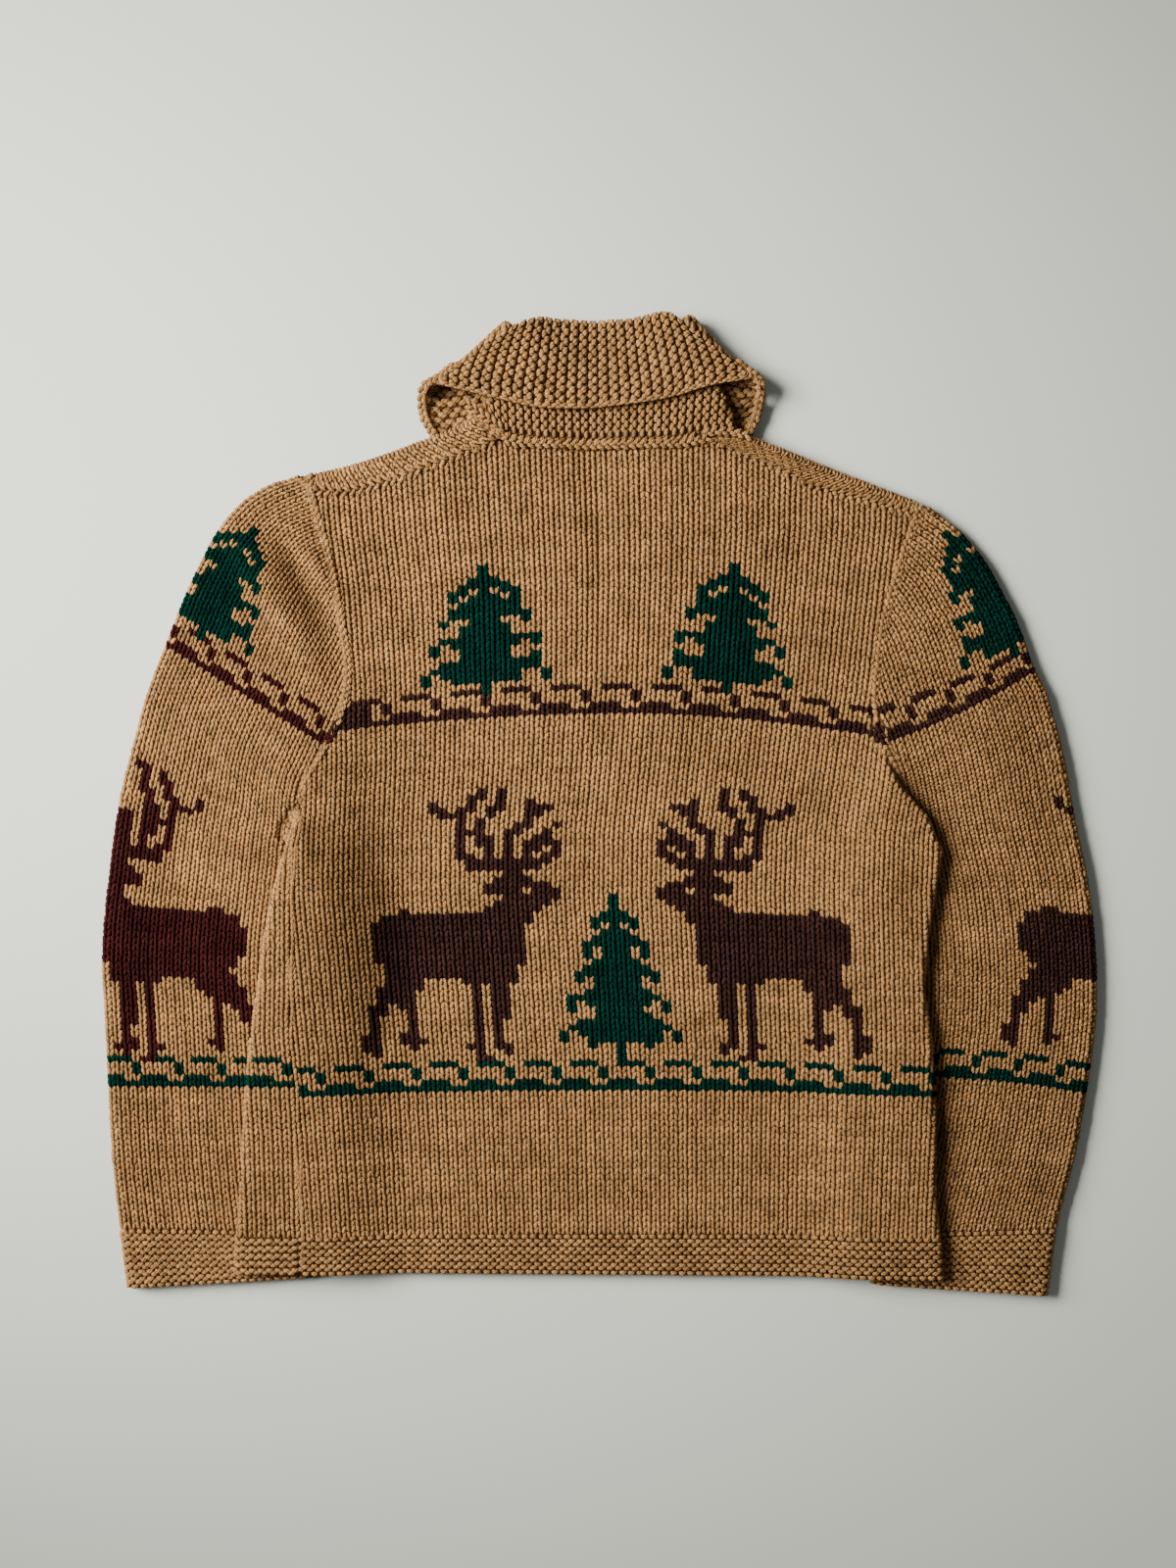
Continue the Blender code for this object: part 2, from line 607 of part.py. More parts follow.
def collar_section(station):
    """Mid surface and outside of one station: seam, stand, roll, fall, free edge."""
    (seam_x, seam_y, roll_x, roll_y, edge_x, edge_y,
     seam_z, stand_z, fall_z, edge_z) = station
    seam = np.array([seam_x, seam_y, seam_z])
    edge = np.array([edge_x, edge_y, edge_z])
    out = np.array([roll_x - seam_x, roll_y - seam_y, 0.0])
    out = out / np.linalg.norm(out)
    over = np.array([0.0, 0.0, (fall_z - stand_z) / 2])
    radius = abs(over[2])
    centre = np.array([roll_x, roll_y, (stand_z + fall_z) / 2]) - radius * out
    stand = [seam + (centre - over - seam) * t
             for t in np.linspace(0, 1, COLLAR_STAND + 1)[:-1]]
    turned = [centre + radius * np.cos(a) * out + np.sin(a) * over
              for a in np.linspace(-np.pi / 2, np.pi / 2, COLLAR_ROLL + 1)]
    fall = [centre + over + (edge - centre - over) * t
            for t in np.linspace(0, 1, COLLAR_FALL + 1)[1:]]
    bend = collar_bend()
    outside = np.cos(bend) * out + np.sin(bend) * over / radius
    return np.stack([np.array(stand + turned + fall), outside])


def collar_side(upper, lower):
    """Rows round the side of the neck, between the upper and the lower layers."""
    middle = (upper[0] + lower[0]) / 2
    half = (upper[0][:, 2:] - lower[0][:, 2:]) / 2
    side = 1.0 if middle[0, 0] > 0 else -1.0
    stand = middle[COLLAR_STAND] - middle[0]
    fall = middle[-1] - middle[-1 - COLLAR_FALL]
    beside = [side * np.array([stand[1], -stand[0], 0.0]) / np.linalg.norm(stand[:2]),
              side * np.array([-fall[1], fall[0], 0.0]) / np.linalg.norm(fall[:2])]
    share = np.clip((np.arange(len(middle)) - COLLAR_STAND) / COLLAR_ROLL, 0, 1)[:, None]
    beside = beside[0] * (1 - share) + beside[1] * share
    onward = stand * (1, 1, 0) / np.linalg.norm(stand[:2])
    rows = []
    for angle in np.linspace(0, np.pi, COLLAR_SIDE_STEPS + 1)[1:-1]:
        across = np.sin(angle) * beside + np.cos(angle) * UP
        bend = collar_bend()
        outside = np.cos(bend) * onward + np.sin(bend) * across
        rows.append(np.stack([middle + half * across, outside]))
    return rows


def stations_through(stations, rows):
    """Even rows through a list of stations."""
    sections = np.array([collar_section(station) for station in stations])
    at = np.linspace(0, len(stations) - 1, rows)
    flat = through(np.arange(len(stations)), sections.reshape(len(stations), -1), at)
    return list(flat.reshape(rows, *sections.shape[1:]))


def collar_half(side):
    """Rows from the middle of the back to the foot of the V."""
    upper = stations_through(COLLAR_UPPER[side], 2 * COLLAR_RIDGES + 1)
    steps = COLLAR_LOWER_STEPS * (len(COLLAR_LOWER[side]) - 1)
    lower = stations_through(COLLAR_LOWER[side], steps + 1)
    rows = np.array(upper + collar_side(upper[-1], lower[0]) + lower)
    return rows, ridges(len(rows), COLLAR_RIDGES)


def collar_sheet():
    left, left_up = collar_half("left")
    right, right_up = collar_half("right")
    rows = np.concatenate([left[::-1], right[1:]])
    return rows[:, 0], rows[:, 1], np.concatenate([left_up[::-1], right_up[1:]])


# ---------------------------------------------------------------- walls

def wall_mesh(name, points, outside, ridge):
    """Closed wall round a mid surface; ridges only where the outside faces up."""
    facing_up = ease((outside[..., 2:] - 0.2) / 0.5)
    outer = points + outside * (WALL / 2 + ridge[:, None, None] * facing_up)
    inner = points - outside * (WALL / 2)
    outer[..., 2] = np.maximum(outer[..., 2], 0.0)
    inner[..., 2] = np.maximum(inner[..., 2], 0.0)
    rows, columns = points.shape[:2]
    vertices = np.concatenate([outer.reshape(-1, 3), inner.reshape(-1, 3)]) * MM
    count = rows * columns

    def index(row, col, under):
        return row * columns + col + (count if under else 0)

    faces = []
    for r in range(rows - 1):
        for c in range(columns - 1):
            quad = [(r, c), (r, c + 1), (r + 1, c + 1), (r + 1, c)]
            faces.append([index(a, b, False) for a, b in quad])
            faces.append([index(a, b, True) for a, b in reversed(quad)])
    rim = ([(0, c) for c in range(columns - 1)]
           + [(r, columns - 1) for r in range(rows - 1)]
           + [(rows - 1, c) for c in range(columns - 1, 0, -1)]
           + [(r, 0) for r in range(rows - 1, 0, -1)])
    for a, b in zip(rim, rim[1:] + rim[:1]):
        faces.append([index(*b, False), index(*a, False), index(*a, True), index(*b, True)])
    r, c = rows // 2, columns // 3
    square = np.cross(points[r, c + 1] - points[r, c], points[r + 1, c] - points[r, c])
    if square @ outside[r, c] < 0:
        faces = [face[::-1] for face in faces]
    mesh = bpy.data.meshes.new(name)
    mesh.from_pydata(vertices.tolist(), [], faces)
    mesh.validate()
    mesh.shade_smooth()
    return mesh


def wool(name, colour):
    material = bpy.data.materials.new(name)
    material.use_nodes = True
    shader = material.node_tree.nodes["Principled BSDF"]
    shader.inputs["Base Color"].default_value = (*colour, 1.0)
    shader.inputs["Roughness"].default_value = WOOL_ROUGHNESS
    shader.inputs["Metallic"].default_value = 0.0
    return material


def add_piece(name, sheet, material):
    mesh = wall_mesh(name, *sheet)
    mesh.materials.append(material)
    piece = bpy.data.objects.new(name, mesh)
    bpy.context.scene.collection.objects.link(piece)
    return piece


def build():
    for existing in list(bpy.data.objects):
        bpy.data.objects.remove(existing)
    tan = wool("heather_tan_wool", WOOL["heather_tan"])
    garter = wool("garter_tan_wool", WOOL["garter_tan"])
    add_piece("back", back_sheet(), tan)
    add_piece("front_left", front_sheet("left"), tan)
    add_piece("front_right", front_sheet("right"), tan)
    add_piece("sleeve_left", sleeve_sheet("left"), tan)
    add_piece("sleeve_right", sleeve_sheet("right"), tan)
    add_piece("collar", collar_sheet(), garter)


build()
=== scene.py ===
"""Looks of a thick hand-knitted cardigan with a shawl collar, laid out on its front.

Millimetres in the tables, metres in the meshes, in the same frame as the solids.
Each panel of cloth is a closed sheet, the ground, which replaces its solid. On the
sides that show, every stitch is modelled on it: two plump lengths of yarn for a
knit stitch, arches for the garter ridges, and braids along the seams. All of them
are copies of two grains of yarn. They are laid out in flat coordinates, in
millimetres of cloth, and carried onto the surface of their panel.
"""

import bpy
import numpy as np
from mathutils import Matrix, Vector


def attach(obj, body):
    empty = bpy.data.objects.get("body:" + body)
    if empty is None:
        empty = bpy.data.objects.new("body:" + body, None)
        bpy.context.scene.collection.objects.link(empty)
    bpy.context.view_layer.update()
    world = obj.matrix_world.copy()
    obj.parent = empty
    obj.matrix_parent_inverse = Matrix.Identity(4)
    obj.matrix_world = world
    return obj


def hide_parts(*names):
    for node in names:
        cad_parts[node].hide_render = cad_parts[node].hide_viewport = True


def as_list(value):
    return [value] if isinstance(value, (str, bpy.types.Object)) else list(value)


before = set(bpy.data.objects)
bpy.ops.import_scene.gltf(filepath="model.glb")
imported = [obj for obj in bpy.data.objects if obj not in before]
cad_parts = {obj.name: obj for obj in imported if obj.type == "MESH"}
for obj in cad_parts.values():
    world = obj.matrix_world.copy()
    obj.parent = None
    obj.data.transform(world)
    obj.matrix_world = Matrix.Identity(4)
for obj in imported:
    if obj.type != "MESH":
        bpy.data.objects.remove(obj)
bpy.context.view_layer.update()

MM = 0.001
OUTWARD = {"left": -1.0, "right": 1.0}
ARM_X = {"left": 0, "right": 2}     # the two columns of ARMHOLES start here

# Cloth, as in the solids
WALL = 4.0
SLIT = 2.6
BEND = (WALL + SLIT) / 2
FOLD_REACH = BEND + WALL / 2
SEAM_SIDE = 0.2
FOLD_SEAM_SIDE = 0.5
TUBE_HEIGHT = 2 * WALL + SLIT
SLEEVE_LIFT = TUBE_HEIGHT + 1.2
SLEEVE_SLOPE = 60.0
LAPEL_LIFT = WALL + 0.9
LAPEL_SLOPES = {"outer": 60.0, "inner": 30.0}

# Side folds: height, left fold, inset of the left side seam, right fold.
SIDES = [(-366, -282, 52, 265), (-332, -280, 50, 263), (-294, -277, 46, 259),
         (-255, -275, 43, 260), (-216, -273, 39, 259), (-177, -269, 31, 256),
         (-139, -263, 26, 250), (-100, -258, 21, 254), (-69, -252, 15, 259),
         (-34, -243, 8, 265), (-19, -238, 6, 263), (7, -236.5, 6, 240),
         (18, -236.5, 6, 229), (32, -236.5, 6, 224.5), (49, -236.5, 6, 222)]
RIGHT_SEAM_INSET = 13.0
FOLD_HANDOVER = {"left": 26.0, "right": 44.0}
UNDERARM_ROLL = (90, 42, 12)

# Heights of the body's rows at its left and right edge, and the hem's lower edge.
LEVELS = [(-332, -334), (-300, -300), (-265, -262), (-230, -222), (-195, -182),
          (-160, -142), (-125, -103), (-95, -68), (-68, -36), (-46, -8),
          (-30, 14), (-17, 30), (-7, 42)]
HEM = (-362, -366)

# Armhole seams: left x, left y, right x, right y.
ARMHOLES = [(-231, 1, 216, 51), (-230, 16, 216, 66), (-217, 38, 214, 84),
            (-206, 58, 215, 100), (-199, 77, 217, 116), (-195, 97, 219, 132),
            (-196, 119, 222, 148), (-200, 142, 227, 165), (-204, 166, 232, 182),
            (-210, 192, 237, 198), (-217, 218, 242, 212), (-225, 244, 247, 225)]
BACK_TOP = [(-225, 244), (-195, 243), (-162, 251), (-116, 268), (-77, 283),
            (-63, 279), (0, 278), (67, 279), (84, 283), (119, 268),
            (162, 249), (200, 238), (247, 225)]
NECK_CORNERS = {"left": -77, "right": 84}
# Shoulder folds: neck x, neck y, arm x, arm y, sag.
SHOULDER_FOLDS = {"left": (-95, 301, -225, 257, 4.5),
                  "right": (112, 288, 247, 236, 0.0)}
# Neck edge of the fronts: height, left x, right x.
NECK_EDGE = [(76, -0.5, 0.5), (84, -8, 8), (132, -28, 28), (186, -50, 53),
             (240, -70, 84), (270, -82, 101), (288, -89.5, 112), (302, -95, 114)]
V_FOOT_ROW = 3
FRONT_TOP = {"left": 282, "right": 272}

# Sleeves below the armhole: outer fold x, y, hidden inner fold x, y.
SLEEVE_ROWS = {"left": [(-366, -375, -214, -366), (-372, -329, -212, -331),
                        (-378, -274, -209, -275), (-381, -219, -206, -219),
                        (-384, -160, -203, -165), (-386, -122, -203, -130),
                        (-384, -85, -203, -100), (-380, -50, -210, -72),
                        (-376, -18, -225, -50), (-372, 6, -240, -35),
                        (-366, 32, -242.5, -18), (-358, 62, -238.5, -6)],
               "right": [(348, -381, 212, -372), (355, -329, 210, -333),
                         (369, -274, 208, -275), (379, -219, 206, -219),
                         (386, -160, 203, -160), (386, -122, 203, -120),
                         (383, -85, 204, -85), (378, -50, 208, -55),
                         (371, -18, 221, -28), (366, 8, 234, -6),
                         (362, 32, 236.5, 8), (356, 58, 232, 22),
                         (350, 78, 225.5, 43)]}
# Outer fold beside each armhole row: left x, left y, right x, right y.
CAP_FOLD = [(-353, 80, 347, 88), (-347, 98, 342, 98), (-340, 116, 337, 108),
            (-332, 136, 332, 122), (-325, 154, 327, 136), (-318, 171, 321, 150),
            (-310, 187, 312, 167), (-301, 205, 301, 187), (-289, 222, 288, 204),
            (-274, 238, 275, 217), (-254, 249.5, 264, 225), (-241, 253.5, 259, 229.3)]
CAP_END = {"left": (-233.5, 256.3, -225.4, 250.5), "right": (256, 232, 247.4, 229)}
# How far in the sleeves' hidden edges lie under the body: height, left x, right x.
TUCKED = [(-375, -212, 210), (-331, -210, 208), (-219, -204, 204), (-130, -201, 201),
          (-100, -201, 202), (-72, -208, 205), (-50, -223, 207), (-28, -238, 219),
          (-6, -240, 234), (10, -240, 235), (24, -236, 231), (50, -236, 222)]
LIFT_STARTS = {"left": -1.0, "right": 46.0}
LIFT_RUN = 32.0

# Collar stations: seam x, y, roll x, y, edge x, y.
COLLAR_UPPER = {
    "left": [(-5, 278.6, -5, 373, -5, 307), (-39, 279.0, -30, 374, -45, 307),
             (-62, 281.0, -46, 375, -76, 313), (-76, 285.8, -57, 372.5, -105, 320),
             (-89.5, 297, -67, 368, -130, 326)],
    "right": [(-5, 278.6, -5, 373, -5, 307), (32, 279.0, 28, 375, 33, 311),
              (60, 279.9, 45, 378.5, 60, 316), (83, 284.6, 55, 378.5, 87, 324),
              (106.6, 285.4, 64, 372.5, 123, 330)]}
COLLAR_LOWER = {
    "left": [(-89.5, 297, -67, 368, -136.5, 309), (-81, 270, -60, 316, -129.5, 284),
             (-69, 240, -41, 266, -110, 232), (-49, 186, -25, 202, -84, 172),
             (-27, 132, -12, 140, -56, 115), (-7, 89.5, -3, 96, -31, 70)],
    "right": [(106.6, 285.4, 64, 372.5, 126, 309), (98.8, 268, 60, 322, 116, 286),
              (82.8, 240, 43, 268, 108, 232), (52, 186, 26, 203, 84, 172),
              (27, 132, 12, 140, 56, 115), (7, 89.5, 3, 96, 31, 70)]}
# Its heights at the seam, the stand, the fall and the edge, station by station.
UPPER_HEIGHTS = [(8.6, 4.0, 10.5, 12.6), (13.2, 6.5, 13.2, 16.6), (13.5, 11.2, 17.2, 18.0),
                 (13.5, 12.6, 18.4, 18.6), (13.2, 13.0, 18.9, 16.5)]
LOWER_HEIGHTS = [(6.9, 7.2, 2.0, 2.0)] * 6
COLLAR_UPPER_ROWS = 48
COLLAR_SIDE_STEPS = 8
COLLAR_LOWER_ROWS = 50
COLLAR_STAND = 12               # columns of the stand, the roll and the fall
COLLAR_ROLL = 8
COLLAR_FALL = 10

RIDGE_PITCH = [(0, 6.2), (88, 6.7), (152, 8.4)]     # width of the collar, ridge pitch
COLLAR_REACH = 26               # ridges laid from the middle to each side
COLLAR_STEPS = 4                # samples of the surface per ridge
COLLAR_UNIT = 7.0               # flat millimetres per ridge
TIP_SIDEWAYS = (0.1, 0.1)       # way out of the folded tips at the sides of the neck

# Where the lapels lie under the fronts: height, inner x, outer x.
LAPELS = [(350, 74, 142), (318, 54, 142), (268, 34, 134), (204, 18, 108),
          (142, 5, 80), (100, 0, 60), (66, 0, 42)]
LAPEL_FOOT = 20.0
LAPEL_FOOT_RUN = 42.0

# Soft swellings of the upper layer: x, y, half length, half width, angle, height.
SWELLS = [(-252, 160, 95, 24, -59, 10.5), (-217, 180, 65, 16, -59, 6.0),
          (-222, 110, 60, 18, 100, 1.6), (-236, -90, 240, 100, 88, 7.0),
          (-165, -90, 200, 50, 88, -1.8), (-275, -150, 260, 120, 90, 2.5),
          (262, -130, 270, 130, 92, 4.0), (250, 120, 70, 22, 100, 2.2),
          (300, 60, 90, 26, 105, 1.6), (-60, -60, 150, 50, 8, 0.9),
          (120, -180, 120, 40, 80, 1.0), (-150, 150, 70, 30, 60, 0.9)]
# Painted shade: darker wool colour where the cloth lies in a fold or hollow, or turns away
# from the light. The same columns, with a share of shade.
PAINTED_FOLD_SHADE = [(-232, 170, 68, 13, -59, 0.52), (-190, -80, 220, 68, 88, 0.46),
         (268, -250, 120, 20, 88, 0.3), (240, 30, 60, 18, 108, 0.25),
         (236, -60, 90, 26, 95, 0.2), (222, 120, 80, 12, 96, 0.15),
         (108, 308, 26, 18, 0, 0.6), (335, 40, 170, 46, 100, 0.2),
         (0, -356, 430, 22, 0, 0.07), (340, -330, 90, 60, 90, 0.12),
         (0, 288, 110, 22, 0, 0.12), (-223, -24, 34, 10, 100, 0.35),
         (-243.6, -14, 10, 5, 100, 0.45), (-217, 12.6, 7, 4, 50, 0.6),
         (-228, 5, 17, 4.5, 34, 0.35)]

# Knitting
ROW = 4.636                     # height of a row of stitches
HEM_TOP = -333.0
# The back's stitches: height, x of the middle wale, width of a stitch, and how far a
# row drops towards the left and the right.
BODY_GAUGE = [(-356, 20.1, 6.99, 1.5, 1.5), (-242, 18.6, 7.18, 2.2, 2.2),
              (-194, 17.9, 7.27, 2.6, 2.6), (-69, 11.0, 7.41, 5.7, 7.6),
              (-22, 11.8, 7.45, 7.6, 10.6), (31, 17.1, 7.58, 10.8, 17.0),
              (92, 21.7, 7.78, 15.3, 24.4), (168, 23.9, 8.05, 19.8, 28.9),
              (214, 23.9, 8.28, 22.5, 32.0), (282, 22.4, 8.44, 25.8, 36.5)]
DROP_REACH = (-217.3, 208.2)    # from the middle to where the drops are given
SLEEVE_STITCH = 6.65
STRIP_STITCH = 7.3
BACK_STITCH = 7.4               # the usual width, which sets the yarn's
SHOULDER_STITCH = 8.4
HEM_STITCH, HEM_RIDGES = 6.6, 5
CUFF_STITCH, CUFF_RIDGES = 6.5, 8
COLLAR_STITCH = 7.3
RIDGE_GAP = 0.5                 # between a band's last ridge and the first row
# Fields of stitches that are tried, and cut to the panel: wales, rows.
BACK_FIELD, STRIP_FIELD = ((-42, 44), (0, 134)), ((-14, 2), (0, 76))

# Columns of the ground's grids, where it is flat and past the two side folds.
BACK_COLUMNS, FRONT_COLUMNS, SLEEVE_COLUMNS = 70, 34, 56
BACK_PAST = {"left": 3, "right": 6}
FRONT_PAST = {"left": 16, "right": 4}

# Yarn on the ground
GROUND = 1.0                    # the ground under the stitches, above the mid surface
PLAIN = 1.9                     # the face of the cloth where it is not laid with stitches
LEG_WIDTH = 0.266               # half width of a leg, in stitches
LEG_RISE = 2.0
LEG_FOOT = (0.09, -0.15)        # from the foot of the V, in stitches and rows
LEG_TIP = (0.392, 1.4)
LEG_BOW = 0.25
LOOP_RISE, LOOP_HALF, LOOP_REACH = 2.3, 1.95, 0.51
# The two rows of arches in a garter ridge: set over, height in ridges, bow.
LOOPS = ((0.0, 0.235, 0.55), (0.5, -0.225, -0.55))
BRAID_BOW = 0.3
# Yarn of the seams: pitch, length and slant of its lengths, half width, rise, and
# whether there are two rows of them.
SEAM_YARN = {"neck": (6.0, 8.4, 30, 1.8, 2.6), "side": (ROW, 6.8, -7, 1.6, 1.8, False),
             "shoulder": (6.6, 8.4, 38, 1.7, 2.3), "armhole": (5.4, 7.6, 22, 1.9, 2.5),
             "underarm": (5.2, 8.2, 24, 2.2, 2.8), "neck side": (6.0, 8.4, 30, 1.9, 2.8),
             "neck below": (5.2, 8.4, 26, 2.3, 3.0), "point": (4.6, 8.0, 25, 2.3, 2.8),
             "tip": (5.0, 7.6, 26, 2.2, 3.0), "tip inside": (5.4, 7.6, 18, 2.3, 2.4, False),
             "collar": (6.0, 8.6, 30, 2.0, 2.8), "free edge": (5.6, 7.6, 22, 1.9, 2.8),
             "lapel edge": (5.6, 7.6, 22, 2.2, 2.6), "rim": (5.2, 7.6, 14, 2.3, 1.6, False)}

# Unevenness: of places in millimetres, of measures and tones as shares
NUDGE, LEG_WANDER, LOOP_WANDER, BRAID_WANDER = 0.16, 0.1, 0.18, 0.2
RISE_SPREAD, WIDTH_SPREAD = 0.07, 0.05
TONE_SPREAD, WARMTH_SPREAD, BLUE_SHARE = 0.11, 0.025, 1.6
SLUB_SPREAD, SLUB_LENGTH, SLUB_START = 0.07, 5.0, 70
SLUB_TABLE = (400, 80)          # rows, and places along a row

WOOL = {"tan": (0.344, 0.182, 0.070), "brown": (0.0345, 0.0147, 0.0117),
        "maroon": (0.0392, 0.0092, 0.0088), "green": (0.0012, 0.0243, 0.0165)}
YARNS = list(WOOL)
# Share of its yarn's colour on the ground: under stitches, a painted shade for the gaps
# between them; on a plain face, on its inner side, at its edges.
PAINTED_GAP_SHADE, PLAIN_FACE, INNER_SIDE, CUT_EDGE = 0.42, 0.95, 0.9, 0.8

rng = np.random.default_rng(11)


# ---------------------------------------------------------------- curves

def ease(t):
    """Smooth step from 0 to 1."""
    t = np.clip(t, 0.0, 1.0)
    return t * t * (3.0 - 2.0 * t)


def through(knots, values, at):
    """Smooth curve through a table's values, with slopes from its neighbours."""
    knots = np.asarray(knots, float)
    values = np.asarray(values, float)
    slopes = np.gradient(values, knots, axis=0)
    at = np.clip(np.asarray(at, float), knots[0], knots[-1])
    left = np.clip(np.searchsorted(knots, at, side="right") - 1, 0, len(knots) - 2)
    span = knots[left + 1] - knots[left]
    t = (at - knots[left]) / span
    if values.ndim > 1:
        t = t[..., None]
        span = span[..., None]
    return ((2 * t ** 3 - 3 * t ** 2 + 1) * values[left]
            + (t ** 3 - 2 * t ** 2 + t) * span * slopes[left]
            + (3 * t ** 2 - 2 * t ** 3) * values[left + 1]
            + (t ** 3 - t ** 2) * span * slopes[left + 1])


def column(table, index):
    return np.array([row[index] for row in table], float)


def look_up(table, index, at):
    """Value of one column of a table at places in its first column."""
    order = np.argsort(column(table, 0))
    return np.interp(at, column(table, 0)[order], column(table, index)[order])


def pair(x, y):
    return np.stack([x, y], -1)


def between(grid):
    """Middle of each quad of a grid of values."""
    return (grid[:-1, :-1] + grid[1:, 1:]) / 2


def stitch_field(wales, rows):
    """Wale and row of each stitch of a field; both are given as (first, end)."""
    return [a.ravel().astype(float) for a in np.meshgrid(np.arange(*wales),
                                                         np.arange(*rows))]


def roll(past):
    """Past a fold's centre line: the way along a layer and across to the other one,
    and the outside, in the same two directions."""
    past = np.maximum(past, 0.0)
    angle = np.clip(past / BEND, 0.0, np.pi)
    onward = BEND * np.sin(angle) - np.maximum(past - BEND * np.pi, 0.0)
    return onward, BEND * (1.0 - np.cos(angle)), np.sin(angle), np.cos(angle)


# ---------------------------------------------------------------- body surface

def sleeve_lift(x, y):
    """How high the tucked sleeves hold the body up."""
    lift = 0.0
    for name, index, sign in (("left", 1, -1.0), ("right", 2, 1.0)):
        inside = look_up(TUCKED, index, y) * sign - x * sign
        along = ease((LIFT_STARTS[name] - y) / LIFT_RUN)
        lift = lift + SLEEVE_LIFT * along * ease(1.0 - inside / SLEEVE_SLOPE)
    return lift


def lapel_lift(x, y):
    """How high the lapels hold the body up."""
    reach = np.abs(x)
    beyond = np.maximum(reach - look_up(LAPELS, 2, y), 0.0) / LAPEL_SLOPES["outer"]
    within = np.maximum(look_up(LAPELS, 1, y) - reach, 0.0) / LAPEL_SLOPES["inner"]
    return (LAPEL_LIFT * ease(1.0 - np.maximum(beyond, within))
            * ease((y - LAPEL_FOOT) / LAPEL_FOOT_RUN))


def swell(x, y, places=SWELLS):
    """Soft swellings of the upper layer, or painted shade spread in the same way."""
    height = 0.0
    for middle_x, middle_y, length, width, angle, top in places:
        turn = np.radians(angle)
        along = ((x - middle_x) * np.cos(turn) + (y - middle_y) * np.sin(turn)) / length
        across = ((y - middle_y) * np.cos(turn) - (x - middle_x) * np.sin(turn)) / width
        height = height + top * ease(1.0 - np.sqrt(along ** 2 + across ** 2))
    return height


def body_height(x, y, upward):
    """Height of the body's mid surface; upward is 0 on its lower layer."""
    share = upward / (2 * BEND)
    return WALL / 2 + sleeve_lift(x, y) + lapel_lift(x, y) + upward + share * swell(x, y)


def row_levels():
    """Left and right heights of the body's rows, from the hem to the shoulders."""
    left = [HEM[0]] + [row[0] for row in LEVELS] + [row[1] for row in ARMHOLES]
    right = [HEM[1]] + [row[1] for row in LEVELS] + [row[3] for row in ARMHOLES]
    return np.array(left, float), np.array(right, float)


def arm_edge(side, arm):
    """Fold centre and reach of an armhole edge, which is rolled in near the underarm."""
    angle = np.radians(UNDERARM_ROLL[arm]) if arm < len(UNDERARM_ROLL) else 0.0
    inset = SEAM_SIDE + FOLD_REACH * np.sin(angle)
    return (ARMHOLES[arm][ARM_X[side]] - OUTWARD[side] * inset,
            max(BEND * angle - (FOLD_SEAM_SIDE if arm == 0 else 0.0), 0.0))


def side_edge(side, arm, y, layer):
    """Fold centre of an edge, and how far the back, 1, or the front, -1, goes past it."""
    if arm >= 0:
        return arm_edge(side, arm)
    quarter = BEND * np.pi / 2
    if side == "left":
        share = 0.5 + 0.5 * ease((ARMHOLES[0][1] - y) / FOLD_HANDOVER[side])
        inset = look_up(SIDES, 2, y) - FOLD_REACH
        reach = 2 * quarter * (1 - share if layer > 0 else share) - layer * inset
        return look_up(SIDES, 1, y) + FOLD_REACH, reach - FOLD_SEAM_SIDE
    under = ease((ARMHOLES[0][3] - y) / FOLD_HANDOVER[side])
    reach = quarter + layer * under * (quarter + RIGHT_SEAM_INSET - FOLD_REACH)
    return look_up(SIDES, 3, y) - FOLD_REACH, reach - FOLD_SEAM_SIDE


LEFT_Y, RIGHT_Y = row_levels()
FIRST_ARM = len(LEFT_Y) - len(ARMHOLES)
BODY_ROWS = np.arange(len(LEFT_Y))
BACK_EDGES = np.array([(*side_edge("left", k - FIRST_ARM, LEFT_Y[k], 1),
                        *side_edge("right", k - FIRST_ARM, RIGHT_Y[k], 1))
                       for k in BODY_ROWS])


def body_limits(y):
    """Left and right fold centre of the body's upper layer at a height."""
    return np.interp(y, LEFT_Y, BACK_EDGES[:, 0]), np.interp(y, RIGHT_Y, BACK_EDGES[:, 2])


def body_top(flat):
    """Upper layer of the body; flat x runs on round the side folds."""
    x, y = flat[..., 0], flat[..., 1]
    left, right = body_limits(y)
    past = np.maximum(left - x, x - right)
    sign = np.where(x > (left + right) / 2, 1.0, -1.0)
    onward, down, aside, up = roll(past)
    place = np.clip(x, left, right) + sign * onward
    z = body_height(place, y, 2 * BEND - down)
    return np.stack([place, y, z], -1), np.stack([sign * aside, 0 * y, up], -1)


def gauge(y):
    """Middle, stitch width and the two drops of the back's rows at a height."""
    return [look_up(BODY_GAUGE, i, y) for i in range(1, 5)]


def row_drop(x, y):
    """How much lower a row lies here than in the middle."""
    middle, _, left, right = gauge(y)
    away = x - middle
    return np.where(away < 0, left * (away / DROP_REACH[0]) ** 2,
                    right * (away / DROP_REACH[1]) ** 2)


def wale_of(x, y):
    """Stitch coordinates on the body: wales from the middle, rows from the hem band."""
    middle, width = gauge(y)[:2]
    return 0.5 + (x - middle) / width, (y + row_drop(x, y) - HEM_TOP) / ROW


def body_flat(wale, row):
    """Flat place of a point given in wales and rows."""
    x, y = 0 * row, HEM_TOP + row * ROW
    for _ in range(5):
        middle, width = gauge(y)[:2]
        x = middle + (wale - 0.5) * width
        y = HEM_TOP + row * ROW - row_drop(x, y)
    return np.stack([x, y], -1)


